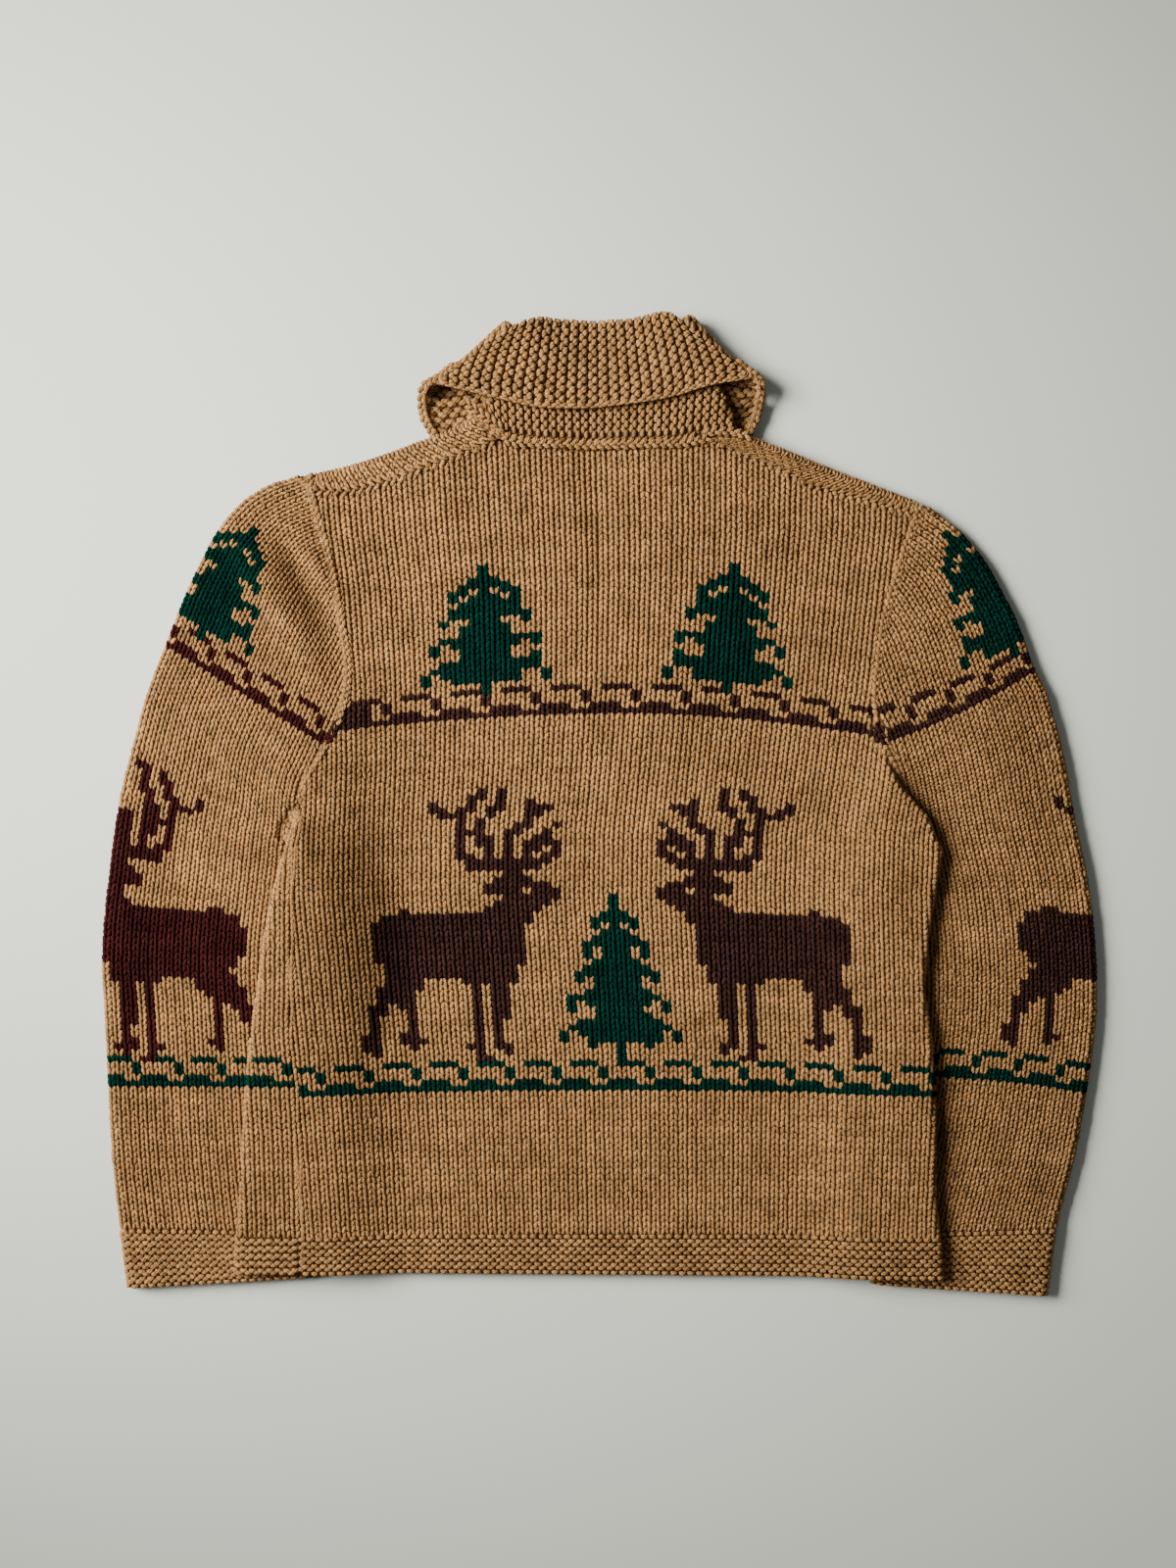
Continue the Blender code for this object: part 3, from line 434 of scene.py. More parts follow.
def shoulder_lines(side, share):
    """Shoulder seam and fold centre line, from the neck to the arm."""
    sign = OUTWARD[side]
    neck_x, neck_y, arm_x, arm_y, sag = SHOULDER_FOLDS[side]
    fold_x = neck_x + sign * SEAM_SIDE + (arm_x - neck_x - 2 * sign * SEAM_SIDE) * share
    fold_y = neck_y + (arm_y - neck_y) * share - sag * 4 * share * (1 - share) - FOLD_REACH
    corner = NECK_CORNERS[side] + sign * SEAM_SIDE
    seam_x = corner + (arm_x - sign * SEAM_SIDE - corner) * share
    seam_y = look_up(BACK_TOP, 1, seam_x) + SEAM_SIDE
    return np.stack([seam_x, seam_y], -1), np.stack([fold_x, fold_y], -1)


def shoulder_length(side):
    seam = shoulder_lines(side, np.linspace(0, 1, 40))[0]
    return np.linalg.norm(np.diff(seam, axis=0), axis=1).sum()


def shoulder(side):
    """Surface of a front's shoulder: along the seam, then up from it and over."""
    length = shoulder_length(side)

    def surface(flat):
        seam, fold = shoulder_lines(side, np.clip(flat[..., 0] / length, 0, 1))
        up = flat[..., 1]
        wide = np.linalg.norm(fold - seam, axis=-1)
        plan = seam + (fold - seam) * np.minimum(up / wide, 1.0)[..., None]
        onward, down, aside, upright = roll(up - wide)
        y = plan[..., 1] + onward
        z = body_height(plan[..., 0], y, 2 * BEND - down)
        return (np.stack([plan[..., 0], y, z], -1),
                np.stack([0 * y, aside, upright], -1))

    return surface


# ---------------------------------------------------------------- sleeve surface

def sleeve_table(side):
    """Rows of a sleeve: outer x, y, inner x, y, setback, reach, skew; and lengths."""
    arm_column = ARM_X[side]
    tube = np.array(SLEEVE_ROWS[side], float)
    seam = np.array(ARMHOLES, float)[:, arm_column:arm_column + 2] + (
        OUTWARD[side] * SEAM_SIDE, 0)
    cap = np.array(CAP_FOLD, float)[:, arm_column:arm_column + 2]
    outer = np.concatenate([tube[:, :2], cap, [CAP_END[side][:2]]])
    inner = np.concatenate([tube[:, 2:], seam, [CAP_END[side][2:]]])
    path, away = np.gradient(inner, axis=0), outer - inner
    skew = np.abs(path[:, 0] * away[:, 1] - path[:, 1] * away[:, 0])
    skew = skew / np.linalg.norm(path, axis=1) / np.linalg.norm(away, axis=1)
    edges = []
    for k in range(len(outer)):
        arm = min(k - len(tube), len(ARMHOLES) - 1)
        if arm < 0:
            edges.append((FOLD_REACH, BEND * np.pi / 2 - FOLD_SEAM_SIDE))
        else:
            centre, reach = arm_edge(side, arm)
            edges.append((abs(centre - ARMHOLES[arm][arm_column]) - SEAM_SIDE, reach))
    table = np.column_stack([outer, inner, edges, np.maximum(skew, 0.5)])
    middle = (outer + inner) / 2
    length = np.append(0, np.cumsum(np.linalg.norm(np.diff(middle, axis=0), axis=1)))
    return table, length - length[1]


SLEEVES = {side: sleeve_table(side) for side in OUTWARD}


def sleeve(side):
    """Surface of a sleeve: round it from the outer fold, and up from the cuff."""
    table, length = SLEEVES[side]

    def surface(flat):
        round_, up = flat[..., 0], flat[..., 1]
        row = through(length, table, up)
        outer, inner, setback, skew = row[..., :2], row[..., 2:4], row[..., 4], row[..., 6]
        wide = np.linalg.norm(outer - inner, axis=-1)
        away = (outer - inner) / wide[..., None]
        quarter = BEND * np.pi / 2
        layer = np.where(round_ < 0, -1.0, 1.0)
        beyond = np.abs(round_) - quarter
        bend = np.clip(-beyond / BEND, 0.0, np.pi / 2)
        flat_along = wide - FOLD_REACH - np.maximum(beyond, 0.0)
        centre = setback / skew
        past = np.maximum(centre - flat_along, 0.0) * skew
        onward, turned, aside, upright = roll(past)
        along = (np.maximum(flat_along, centre) + BEND * np.sin(bend) - onward / skew)
        height = layer * (BEND * np.cos(bend) - turned)
        out_along = np.where(past > 0, -aside / skew, np.sin(bend))
        out_up = layer * np.where(past > 0, upright, np.cos(bend))
        plan = inner + along[..., None] * away
        share = (height + BEND) / (2 * BEND)
        z = WALL / 2 + BEND + height + share * swell(plan[..., 0], plan[..., 1])
        out = np.concatenate([out_along[..., None] * away, out_up[..., None]], -1)
        return np.concatenate([plan, z[..., None]], -1), out

    return surface


def sleeve_width(side, up):
    """Distance round a layer from the outer fold to the inner fold's centre."""
    table, length = SLEEVES[side]
    row = through(length, table, up)
    wide = np.linalg.norm(row[..., :2] - row[..., 2:4], axis=-1)
    return wide - FOLD_REACH - row[..., 4] / row[..., 6] + BEND * np.pi / 2


# ---------------------------------------------------------------- collar surface

def collar_bend():
    quarter = np.pi / 2
    return np.concatenate([np.full(COLLAR_STAND, -quarter),
                           np.linspace(-quarter, quarter, COLLAR_ROLL + 1),
                           np.full(COLLAR_FALL, quarter)])[:, None]


def collar_section(station, heights):
    """Mid surface and outside of one station: seam, stand, roll, fall, free edge."""
    seam_x, seam_y, roll_x, roll_y, edge_x, edge_y = station
    seam_z, stand_z, fall_z, edge_z = heights
    seam = np.array([seam_x, seam_y, seam_z])
    edge = np.array([edge_x, edge_y, edge_z])
    out = np.array([roll_x - seam_x, roll_y - seam_y, 0.0])
    out = out / np.linalg.norm(out)
    over = np.array([0.0, 0.0, (fall_z - stand_z) / 2])
    radius = abs(over[2])
    centre = np.array([roll_x, roll_y, (stand_z + fall_z) / 2]) - radius * out
    stand = [seam + (centre - over - seam) * t
             for t in np.linspace(0, 1, COLLAR_STAND + 1)[:-1]]
    turned = [centre + radius * np.cos(a) * out + np.sin(a) * over
              for a in np.linspace(-np.pi / 2, np.pi / 2, COLLAR_ROLL + 1)]
    fall = [centre + over + (edge - centre - over) * t
            for t in np.linspace(0, 1, COLLAR_FALL + 1)[1:]]
    bend = collar_bend()
    outside = np.cos(bend) * out + np.sin(bend) * over / radius
    return np.stack([np.array(stand + turned + fall), outside])


def collar_side(upper, lower):
    """Rows round the side of the neck, between the upper and the lower layers."""
    middle = (upper[0] + lower[0]) / 2
    half = (upper[0][:, 2:] - lower[0][:, 2:]) / 2
    side = 1.0 if middle[0, 0] > 0 else -1.0
    stand = middle[COLLAR_STAND] - middle[0]
    fall = middle[-1] - middle[-1 - COLLAR_FALL]
    beside = [side * np.array([stand[1], -stand[0], 0.0]) / np.linalg.norm(stand[:2]),
              side * np.array([-fall[1], fall[0], 0.0]) / np.linalg.norm(fall[:2])]
    share = np.clip((np.arange(len(middle)) - COLLAR_STAND) / COLLAR_ROLL, 0, 1)[:, None]
    beside = beside[0] * (1 - share) + beside[1] * share
    tip = np.clip((np.arange(len(middle)) - COLLAR_STAND - COLLAR_ROLL) / COLLAR_FALL, 0, 1)
    tip = tip[:, None]
    way_out = np.array([side * TIP_SIDEWAYS[0], TIP_SIDEWAYS[1], 0.0])
    beside = beside * (1 - tip) + way_out * tip
    onward = stand * (1, 1, 0) / np.linalg.norm(stand[:2])
    rows = []
    for angle in np.linspace(0, np.pi, COLLAR_SIDE_STEPS + 1)[1:-1]:
        across = np.sin(angle) * beside + np.cos(angle) * np.array([0.0, 0.0, 1.0])
        bend = collar_bend()
        outside = np.cos(bend) * onward + np.sin(bend) * across
        rows.append(np.stack([middle + half * across, outside]))
    return rows


def stations_through(stations, heights, rows):
    """A layer's rows, laid smoothly through its stations."""
    sections = np.array([collar_section(*both) for both in zip(stations, heights)])
    at = np.linspace(0, len(stations) - 1, rows)
    flat = through(np.arange(len(stations)), sections.reshape(len(stations), -1), at)
    return list(flat.reshape(rows, *sections.shape[1:]))


def collar_rows():
    """Mid surface and outside of the whole collar, from V foot to V foot."""
    halves = []
    for side in OUTWARD:
        upper = stations_through(COLLAR_UPPER[side], UPPER_HEIGHTS, COLLAR_UPPER_ROWS + 1)
        lower = stations_through(COLLAR_LOWER[side], LOWER_HEIGHTS, COLLAR_LOWER_ROWS + 1)
        halves.append(np.array(upper + collar_side(upper[-1], lower[0]) + lower))
    rows = np.concatenate([halves[0][::-1], halves[1][1:]])
    return rows[:, 0], rows[:, 1], len(halves[0]) - 1


def collar_ridge_grid():
    """The collar's surface, sampled along its garter ridges."""
    points, outside, middle = collar_rows()
    step = np.linalg.norm(np.diff(points, axis=0), axis=2)
    along = np.concatenate([np.zeros((1, points.shape[1])), np.cumsum(step, axis=0)])
    along -= along[middle]
    across = np.linalg.norm(np.diff(points[middle], axis=0), axis=1)
    width = np.append(0, np.cumsum(across))
    ridge = np.arange(-COLLAR_REACH * COLLAR_STEPS, COLLAR_REACH * COLLAR_STEPS + 1)
    ridge = ridge / COLLAR_STEPS
    grid = []
    for c, place in enumerate(width):
        pitch = look_up(RIDGE_PITCH, 1, place)
        row = np.interp(ridge * pitch, along[:, c], np.arange(len(points)))
        low = np.clip(row.astype(int), 0, len(points) - 2)
        t = (row - low)[:, None]
        both = np.concatenate([points[:, c], outside[:, c]], axis=1)
        grid.append(both[low] * (1 - t) + both[low + 1] * t)
    return np.stack(grid, axis=1), width


COLLAR_GRID, COLLAR_WIDTH = collar_ridge_grid()


def collar(flip):
    """Surface of the collar: along it in ridges, and across it from the seam."""
    def surface(flat):
        row = (flat[..., 0] / COLLAR_UNIT + COLLAR_REACH) * COLLAR_STEPS
        col = np.interp(flat[..., 1], COLLAR_WIDTH, np.arange(len(COLLAR_WIDTH)))
        row = np.clip(row, 0, len(COLLAR_GRID) - 1.001)
        col = np.clip(col, 0, len(COLLAR_WIDTH) - 1.001)
        r, c = row.astype(int), col.astype(int)
        tr, tc = (row - r)[..., None], (col - c)[..., None]
        both = ((COLLAR_GRID[r, c] * (1 - tc) + COLLAR_GRID[r, c + 1] * tc) * (1 - tr)
                + (COLLAR_GRID[r + 1, c] * (1 - tc) + COLLAR_GRID[r + 1, c + 1] * tc) * tr)
        out = both[..., 3:] / np.linalg.norm(both[..., 3:], axis=-1, keepdims=True)
        return both[..., :3], out * flip

    return surface


# ---------------------------------------------------------------- charts

BORDER = ["###..", "...#.", "...#.", "##..#", "#####"]
TREE = """
......#......
......#......
.....###.....
....#####....
...##.#.##...
...#.###.#...
....######...
...#######...
...########..
..#..###..#..
....#####....
....#####....
..##########.
.#.#######.#.
.#..#####....
....#####..#.
..##########.
.###########.
#.########..#
#..#######..#
......#......
......#......""".split()
TALL_TREE = """
......#......
......#......
......#......
.....###.....
....#####....
....#.#.#....
.....###.....
....#####....
...#######...
...#.###.#...
...#.###.#...
....#####....
...#######...
..#########..
..#.#####.#..
....#####....
...#######...
.##########..
.#.#######.#.
.#..#####..#.
....######...
..#########..
.###########.
#.#########.#
#..########.#
...#..#..#...
......#......
......#......""".split()
# The deer, facing right: outlines and strokes (points, then width), in stitches.
DEER_FORMS = [
    [(1.6, 20.4), (1.9, 22.5), (3, 24.4), (4.8, 25.6), (8, 25.4), (13.2, 24.5),
     (15.3, 26.2), (15.7, 28), (16.1, 31.8), (18, 31.8), (19.3, 30.4), (20.9, 29.5),
     (22.2, 28.7), (21.8, 26.7), (20, 25.6), (19, 25.2), (18.4, 22.5), (18.4, 18.5),
     (17.7, 16.4), (16.9, 16), (16.9, 13.9), (16, 12.4), (14.2, 13.2), (11.9, 13.4),
     (7.5, 14.2), (6.9, 12.3), (5.6, 11.1), (4, 10.2), (2.2, 12.3), (3.4, 15.4),
     (2.6, 16.4), (2.3, 18.5)],
    [(3.4, 15.4), (2.3, 12.3), (1.5, 10.2), (1, 7.1), (0.1, 4), (0, 2.5), (1.1, 1.2),
     (2.1, 1.2), (2.3, 7.1), (3, 8.6), (4, 10.4), (6, 12)],
    [(4.2, 10.6), (4.9, 6.2), (4.2, 4), (4.9, 2.2), (5.7, 2.1), (6.7, 3.4), (5.8, 4.3),
     (5.7, 11.4)],
    [(12, 13.8), (12.1, 5), (11.4, 2.9), (11.6, 1.4), (12.7, 0), (14.1, 0.6), (13.2, 1.8),
     (13.1, 13.8)],
    [(14.2, 13.8), (14.4, 4), (14, 3.4), (14.3, 1.8), (15.6, 0.8), (16.4, 2.4),
     (15.3, 3), (15.3, 6.5), (15.8, 7.4), (15.8, 13)],
    [(16, 31), (15, 30.6), (13.8, 29.5), (13.9, 28.3), (16, 28.2)],
    [(11.6, 31.9), (20.2, 31.9), (20.2, 33.4), (12.4, 33.7)]]
DEER_STROKES = [([(12.8, 33), (11.7, 35.2), (11.3, 36), (11.3, 40.5)], 1.1),
                ([(8.6, 43), (10, 41.2), (12, 41)], 1.15),
                ([(11.4, 41.6), (12.4, 43), (13.2, 45.4)], 1.3),
                ([(14.3, 34), (13.8, 38.4), (13.7, 40.6), (15, 42.6), (15.7, 45.8)], 1.25),
                ([(12.8, 38.8), (13.8, 38.8)], 1.0),
                ([(16.7, 33), (16.6, 38.2), (17.9, 39), (18.5, 40.4), (18.5, 43.6)], 1.2),
                ([(18.6, 41.6), (20.4, 42.6)], 1.1),
                ([(18, 33.4), (19.4, 37), (21.4, 36.7), (21.5, 34.4), (19.6, 33.4)], 1.35),
                ([(20.4, 37.2), (21.2, 39.4)], 1.1)]
DEER_EYE = (18, 28)
DEER_SIZE = (23, 46)


def inside_outline(outline, x, y):
    """Whether points lie inside a closed outline."""
    inside = np.zeros(x.shape, bool)
    for (x0, y0), (x1, y1) in zip(outline, outline[1:] + outline[:1]):
        if y0 != y1:
            crosses = (y0 > y) != (y1 > y)
            inside ^= crosses & (x < x0 + (y - y0) * (x1 - x0) / (y1 - y0))
    return inside


def near_stroke(points, width, x, y):
    near = np.zeros(x.shape, bool)
    for (x0, y0), (x1, y1) in zip(points, points[1:]):
        dx, dy = x1 - x0, y1 - y0
        t = np.clip(((x - x0) * dx + (y - y0) * dy) / (dx * dx + dy * dy), 0, 1)
        near |= np.hypot(x - x0 - t * dx, y - y0 - t * dy) < width / 2
    return near


def deer_chart(wide=1.0):
    """Stitches of the deer, a row for each row of knitting from the hooves up."""
    count = int(DEER_SIZE[0] * wide + 0.5)
    x, y = np.meshgrid((np.arange(count) + 0.5) / wide, np.arange(DEER_SIZE[1]) + 0.5)
    chart = np.zeros(x.shape, bool)
    for outline in DEER_FORMS:
        chart |= inside_outline(outline, x, y)
    for points, width in DEER_STROKES:
        chart |= near_stroke(points, width, x, y)
    chart[DEER_EYE[1], int(DEER_EYE[0] * wide)] = False
    return chart


def tree_chart(lines):
    """Stitches of a fir tree, from the trunk up."""
    return np.array([[mark == "#" for mark in line] for line in lines[::-1]])


def stamp(cloth, chart, yarn, first_wale, first_row, mirrored=False):
    """Put a chart on a panel's stitches; cloth is (first wale, first row, marks)."""
    wale, row, marks = cloth
    if mirrored:
        chart = chart[:, ::-1]
    for r, c in np.argwhere(chart):
        i, j = first_wale + c - wale, first_row + r - row
        if 0 <= i < marks.shape[1] and 0 <= j < marks.shape[0]:
            marks[j, i] = YARNS.index(yarn)


def band(cloth, yarn, first_row, phase):
    """Run the border round a panel's stitches."""
    wale, row, marks = cloth
    for r, line in enumerate(BORDER[::-1], first_row - row):
        for i in range(marks.shape[1]):
            if line[(i + wale - phase) % len(line)] == "#" and 0 <= r < len(marks):
                marks[r, i] = YARNS.index(yarn)


def blank(wales, rows):
    """A panel's chart, all tan; wales and rows are (first, last)."""
    return wales[0], rows[0], np.zeros((rows[1] - rows[0], wales[1] - wales[0]), int)


def yarn_at(cloth, wale, row):
    """Yarn of the stitch at a place in wales and rows."""
    first_wale, first_row, marks = cloth
    i = np.clip(np.floor(wale).astype(int) - first_wale, 0, marks.shape[1] - 1)
    j = np.clip(np.floor(row).astype(int) - first_row, 0, marks.shape[0] - 1)
    return marks[j, i]


def back_cloth():
    cloth = blank((-45, 45), (-10, 140))
    band(cloth, "green", 24, 0)
    band(cloth, "brown", 87, 3)
    stamp(cloth, np.ones((3, 4), bool), "brown", -29, 88)
    deer = deer_chart()
    stamp(cloth, deer, "brown", -27, 29)
    stamp(cloth, deer, "brown", 4, 29, mirrored=True)
    stamp(cloth, tree_chart(TALL_TREE), "green", -6, 29)
    stamp(cloth, tree_chart(TREE), "green", -20, 91)
    stamp(cloth, tree_chart(TREE), "green", 4, 91, mirrored=True)
    return cloth


def strip_cloth():
    cloth = blank((-60, 60), (-10, 140))
    band(cloth, "green", 25, 1)
    return cloth


# Sleeve motifs: first rows of the borders, then first wale and row of deer and tree.
SLEEVE_CHARTS = {"left": {"green": 24, "band": 91, "yarn": "maroon", "deer": (-6, 28),
                          "tree": (-3, 95)},
                 "right": {"green": 23, "band": 92, "yarn": "brown", "deer": (-14, 28),
                           "tree": (-5, 96)}}
# How a sleeve's rows run: row, and rise of its inner end in rows.
SLEEVE_RISE = {"left": [(0, 0), (150, 0)],
               "right": [(0, 0), (24, 0.24), (45, 0.14), (65, 0), (88, -0.45), (120, -0.3)]}


def sleeve_place(side, wale, row):
    """Flat place on a sleeve of a point given in wales and rows."""
    reach = 16 * (1 - np.exp(-np.maximum(wale, 0) / 11.0))
    up = row + look_up(SLEEVE_RISE[side], 1, row) * reach
    return pair(wale * SLEEVE_STITCH, up * ROW)


def sleeve_cloth(side):
    chart = SLEEVE_CHARTS[side]
    cloth = blank((-30, 30), (-16, 150))
    band(cloth, "green", chart["green"], 0)
    band(cloth, chart["yarn"], chart["band"], 2)
    stamp(cloth, deer_chart(1.08), chart["yarn"], *chart["deer"], mirrored=True)
    stamp(cloth, tree_chart(TREE), "green", *chart["tree"])
    return cloth


# ---------------------------------------------------------------- wool

def add_node(tree, kind, given=None, **settings):
    """A shader node beside the last one; its inputs are given values or sockets."""
    node = tree.nodes.new("ShaderNode" + kind)
    node.location = (200 * len(tree.nodes), 0)
    for name, value in settings.items():
        setattr(node, name, value)
    for name, value in (given or {}).items():
        if isinstance(value, bpy.types.NodeSocket):
            tree.links.new(value, node.inputs[name])
        else:
            node.inputs[name].default_value = value
    return node


def reckon(tree, operation, *terms):
    """Result of a maths node; its terms are numbers or sockets."""
    return add_node(tree, "Math", dict(enumerate(terms)), operation=operation).outputs[0]


def noise(tree, vector, scale, detail, **more):
    given = {"Vector": vector, "Scale": scale, "Detail": detail, **more}
    return add_node(tree, "TexNoise", given).outputs["Fac"]


def ranged(tree, value, *ends):
    """A value carried from one range to another; ends are from, from, to, to."""
    given = dict(zip(("From Min", "From Max", "To Min", "To Max"), ends), Value=value)
    return add_node(tree, "MapRange", given).outputs["Result"]


def new_group(name, inputs, outputs):
    """A node group with its sockets, and what its input node gives."""
    group = bpy.data.node_groups.new(name, "ShaderNodeTree")
    for way, sockets in (("INPUT", inputs), ("OUTPUT", outputs)):
        for socket, kind in sockets.items():
            group.interface.new_socket(socket, in_out=way, socket_type="NodeSocket" + kind)
    return group, group.nodes.new("NodeGroupInput").outputs


def put_out(group, **results):
    last = group.nodes.new("NodeGroupOutput")
    last.location = (200 * len(group.nodes), 0)
    for name, socket in results.items():
        group.links.new(socket, last.inputs[name])
    return group


YARN_GIVEN = {"Yarn": "Vector", "Plies": "Float"}
YARN_MADE = {"Height": "Float", "Fleck": "Float", "Groove": "Float"}


def twist_group():
    """Relief and flecks of plied wool, and painted shade in the grooves between its plies,
    from a yarn's own coordinates.
    """
    group, given = new_group("plied_wool", YARN_GIVEN, YARN_MADE)
    split = add_node(group, "SeparateXYZ", {0: given["Yarn"]}).outputs
    lean = reckon(group, "MULTIPLY_ADD", split["X"], 0.62, split["Y"])
    wavy = noise(group, given["Yarn"], 2.2, 2.0)
    stray = reckon(group, "MULTIPLY_ADD", wavy, 0.35, lean)
    wave = reckon(group, "SINE", reckon(group, "MULTIPLY", stray, given["Plies"]))
    stretch = add_node(group, "VectorMath", {0: given["Yarn"], 1: (11.0, 3.2, 1.0)},
                       operation="MULTIPLY")
    hair = noise(group, stretch.outputs[0], 1.6, 3.0)
    return put_out(group, Height=reckon(group, "MULTIPLY_ADD", wave, 0.42, hair),
                   Fleck=hair, Groove=ranged(group, wave, -1.0, 1.0, 0.70, 1.16))


def face_group():
    """Relief of plain knitting, and painted shade between its legs, from a panel's stitch
    coordinates: two legs a wale.
    """
    group, given = new_group("knitted_face", YARN_GIVEN, YARN_MADE)
    split = add_node(group, "SeparateXYZ", {0: given["Yarn"]}).outputs
    turn = reckon(group, "MULTIPLY", split["X"], 2 * np.pi)
    legs = reckon(group, "ABSOLUTE", reckon(group, "SINE", turn))
    slant = reckon(group, "PINGPONG", split["X"], 0.5)
    lean = reckon(group, "MULTIPLY_ADD", slant, -1.7, split["Y"])
    step = reckon(group, "SINE", reckon(group, "MULTIPLY", lean, 2 * np.pi))
    both = reckon(group, "MULTIPLY_ADD", step, 0.3, legs)
    hair = noise(group, given["Yarn"], 5.0, 3.0)
    return put_out(group, Height=reckon(group, "MULTIPLY_ADD", hair, 0.3, both),
                   Fleck=hair, Groove=ranged(group, both, -0.3, 1.2, 0.45, 1.1))


def shade_group():
    """Broad, faint differences of tone over the wool, around 1, times the painted shade in
    its grooves.
    """
    group, given = new_group("heather_and_groove_shade", {"Colour": "Color", "Fleck": "Float",
                                         "Groove": "Float"}, {"Colour": "Color"})
    place = add_node(group, "TexCoord").outputs["Object"]
    broad = noise(group, place, 42.0, 4.0, Roughness=0.65)
    both = reckon(group, "MULTIPLY_ADD", given["Fleck"], 0.55, broad)
    level = ranged(group, both, 0.45, 1.1, 0.68, 1.34)
    tone_and_groove_shade = reckon(group, "MULTIPLY", level, given["Groove"])
    grey = add_node(group, "CombineColor", dict.fromkeys(("Red", "Green", "Blue"), tone_and_groove_shade))
    mixed = add_node(group, "Mix", {"Factor": 1.0, "A": given["Colour"],
                                    "B": grey.outputs["Color"]},
                     data_type="RGBA", blend_type="MULTIPLY")
    return put_out(group, Colour=mixed.outputs["Result"])


def wool_material(name, plies, relief, distance, yarn_group, heather_and_groove_shade):
    """Plied wool whose colour comes from the stitch that it is in."""
    material = bpy.data.materials.new(name)
    material.use_nodes = True
    tree = material.node_tree
    shader = tree.nodes["Principled BSDF"].inputs
    shader["Roughness"].default_value = 0.92
    shader["Specular IOR Level"].default_value = 0.0
    yarn = add_node(tree, "UVMap", uv_map="yarn").outputs["UV"]
    colour = add_node(tree, "VertexColor", layer_name="wool").outputs["Color"]
    plied = add_node(tree, "Group", node_tree=yarn_group)
    plied.inputs["Plies"].default_value = plies
    tree.links.new(yarn, plied.inputs["Yarn"])
    shade = add_node(tree, "Group", node_tree=heather_and_groove_shade)
    for socket, source in (("Colour", colour), ("Fleck", plied.outputs["Fleck"]),
                           ("Groove", plied.outputs["Groove"])):
        tree.links.new(source, shade.inputs[socket])
    bump = add_node(tree, "Bump", {"Strength": relief, "Distance": distance,
                                   "Height": plied.outputs["Height"]})
    tree.links.new(shade.outputs["Colour"], shader["Base Color"])
    tree.links.new(bump.outputs["Normal"], shader["Normal"])
    return material


HEATHER_AND_GROOVE_SHADE = shade_group()
KNIT_WOOL = wool_material("heather_tan_wool_stitches", 17.0, 0.9, 0.0006, twist_group(),
                          HEATHER_AND_GROOVE_SHADE)
GROUND_WOOL = wool_material("heather_tan_wool_ground", 9.0, 1.0, 0.0018, face_group(),
                            HEATHER_AND_GROOVE_SHADE)


# ---------------------------------------------------------------- grains of yarn

def model_grain(sides):
    """One plump length of yarn, modelled once: a spindle along Y, flat underneath."""
    bpy.ops.object.select_all(action="DESELECT")
    bpy.ops.mesh.primitive_uv_sphere_add(segments=sides, ring_count=4, radius=1.0)
    spindle = bpy.context.object
    shape = np.array([v.co[:] for v in spindle.data.vertices])[:, [1, 2, 0]]
    # Sorted, because the sphere's faces come in another order in each run.
    faces = sorted(list(face.vertices) for face in spindle.data.polygons)
    bpy.data.objects.remove(spindle)
    if sides == 4:
        shape = np.stack([shape[:, 0] - shape[:, 2], 2 * shape[:, 1],
                          shape[:, 0] + shape[:, 2]], -1) / 2
    tip = np.abs(shape[:, 1]) > 0.99
    end = ~tip & (np.abs(shape[:, 1]) > 0.3)
    top = ~tip & (shape[:, 2] > 0.1)
    width = np.where(end, 0.86, 1.0) * np.where(top, 0.64 if sides == 4 else 0.0, 1.0)
    shape[~tip, 0] = (np.sign(shape[:, 0]) * width)[~tip]
    shape[~tip, 2] = np.where(top, np.where(end, 0.84, 1.0), 0.0)[~tip]
    shape[end, 1] *= 0.62 / 0.707
    shape[tip, 2] = -0.12
    return shape, [np.array(face) for face in faces]


SLIM = model_grain(3)
PLUMP = model_grain(4)


def put_in(name, mesh, material):
    """A smooth mesh as an object of the scene."""
    mesh.shade_smooth()
    mesh.materials.append(material)
    piece = bpy.data.objects.new(name, mesh)
    bpy.context.scene.collection.objects.link(piece)
    return piece


def set_uv(mesh, name, corner_values):
    layer = mesh.uv_layers.new(name=name)
    layer.uv.foreach_set("vector", np.ascontiguousarray(corner_values, np.float32).ravel())


def set_colour(mesh, corner_colours):
    layer = mesh.color_attributes.new("wool", "FLOAT_COLOR", "CORNER")
    rgba = np.concatenate([corner_colours, np.ones((len(corner_colours), 1))], axis=1)
    layer.data.foreach_set("color", rgba.astype(np.float32).ravel())


def stitch_colours(yarns):
    """Colour of each grain: its yarn's, a little lighter or darker and warmer."""
    base = np.array([WOOL[name] for name in YARNS])[yarns]
    value = 1.0 + TONE_SPREAD * rng.standard_normal(len(yarns))
    warm = WARMTH_SPREAD * rng.standard_normal(len(yarns))
    tint = np.stack([value * (1 + warm), value, value * (1 - BLUE_SHARE * warm)], -1)
    return np.clip(base * tint, 0.0002, 1.0)


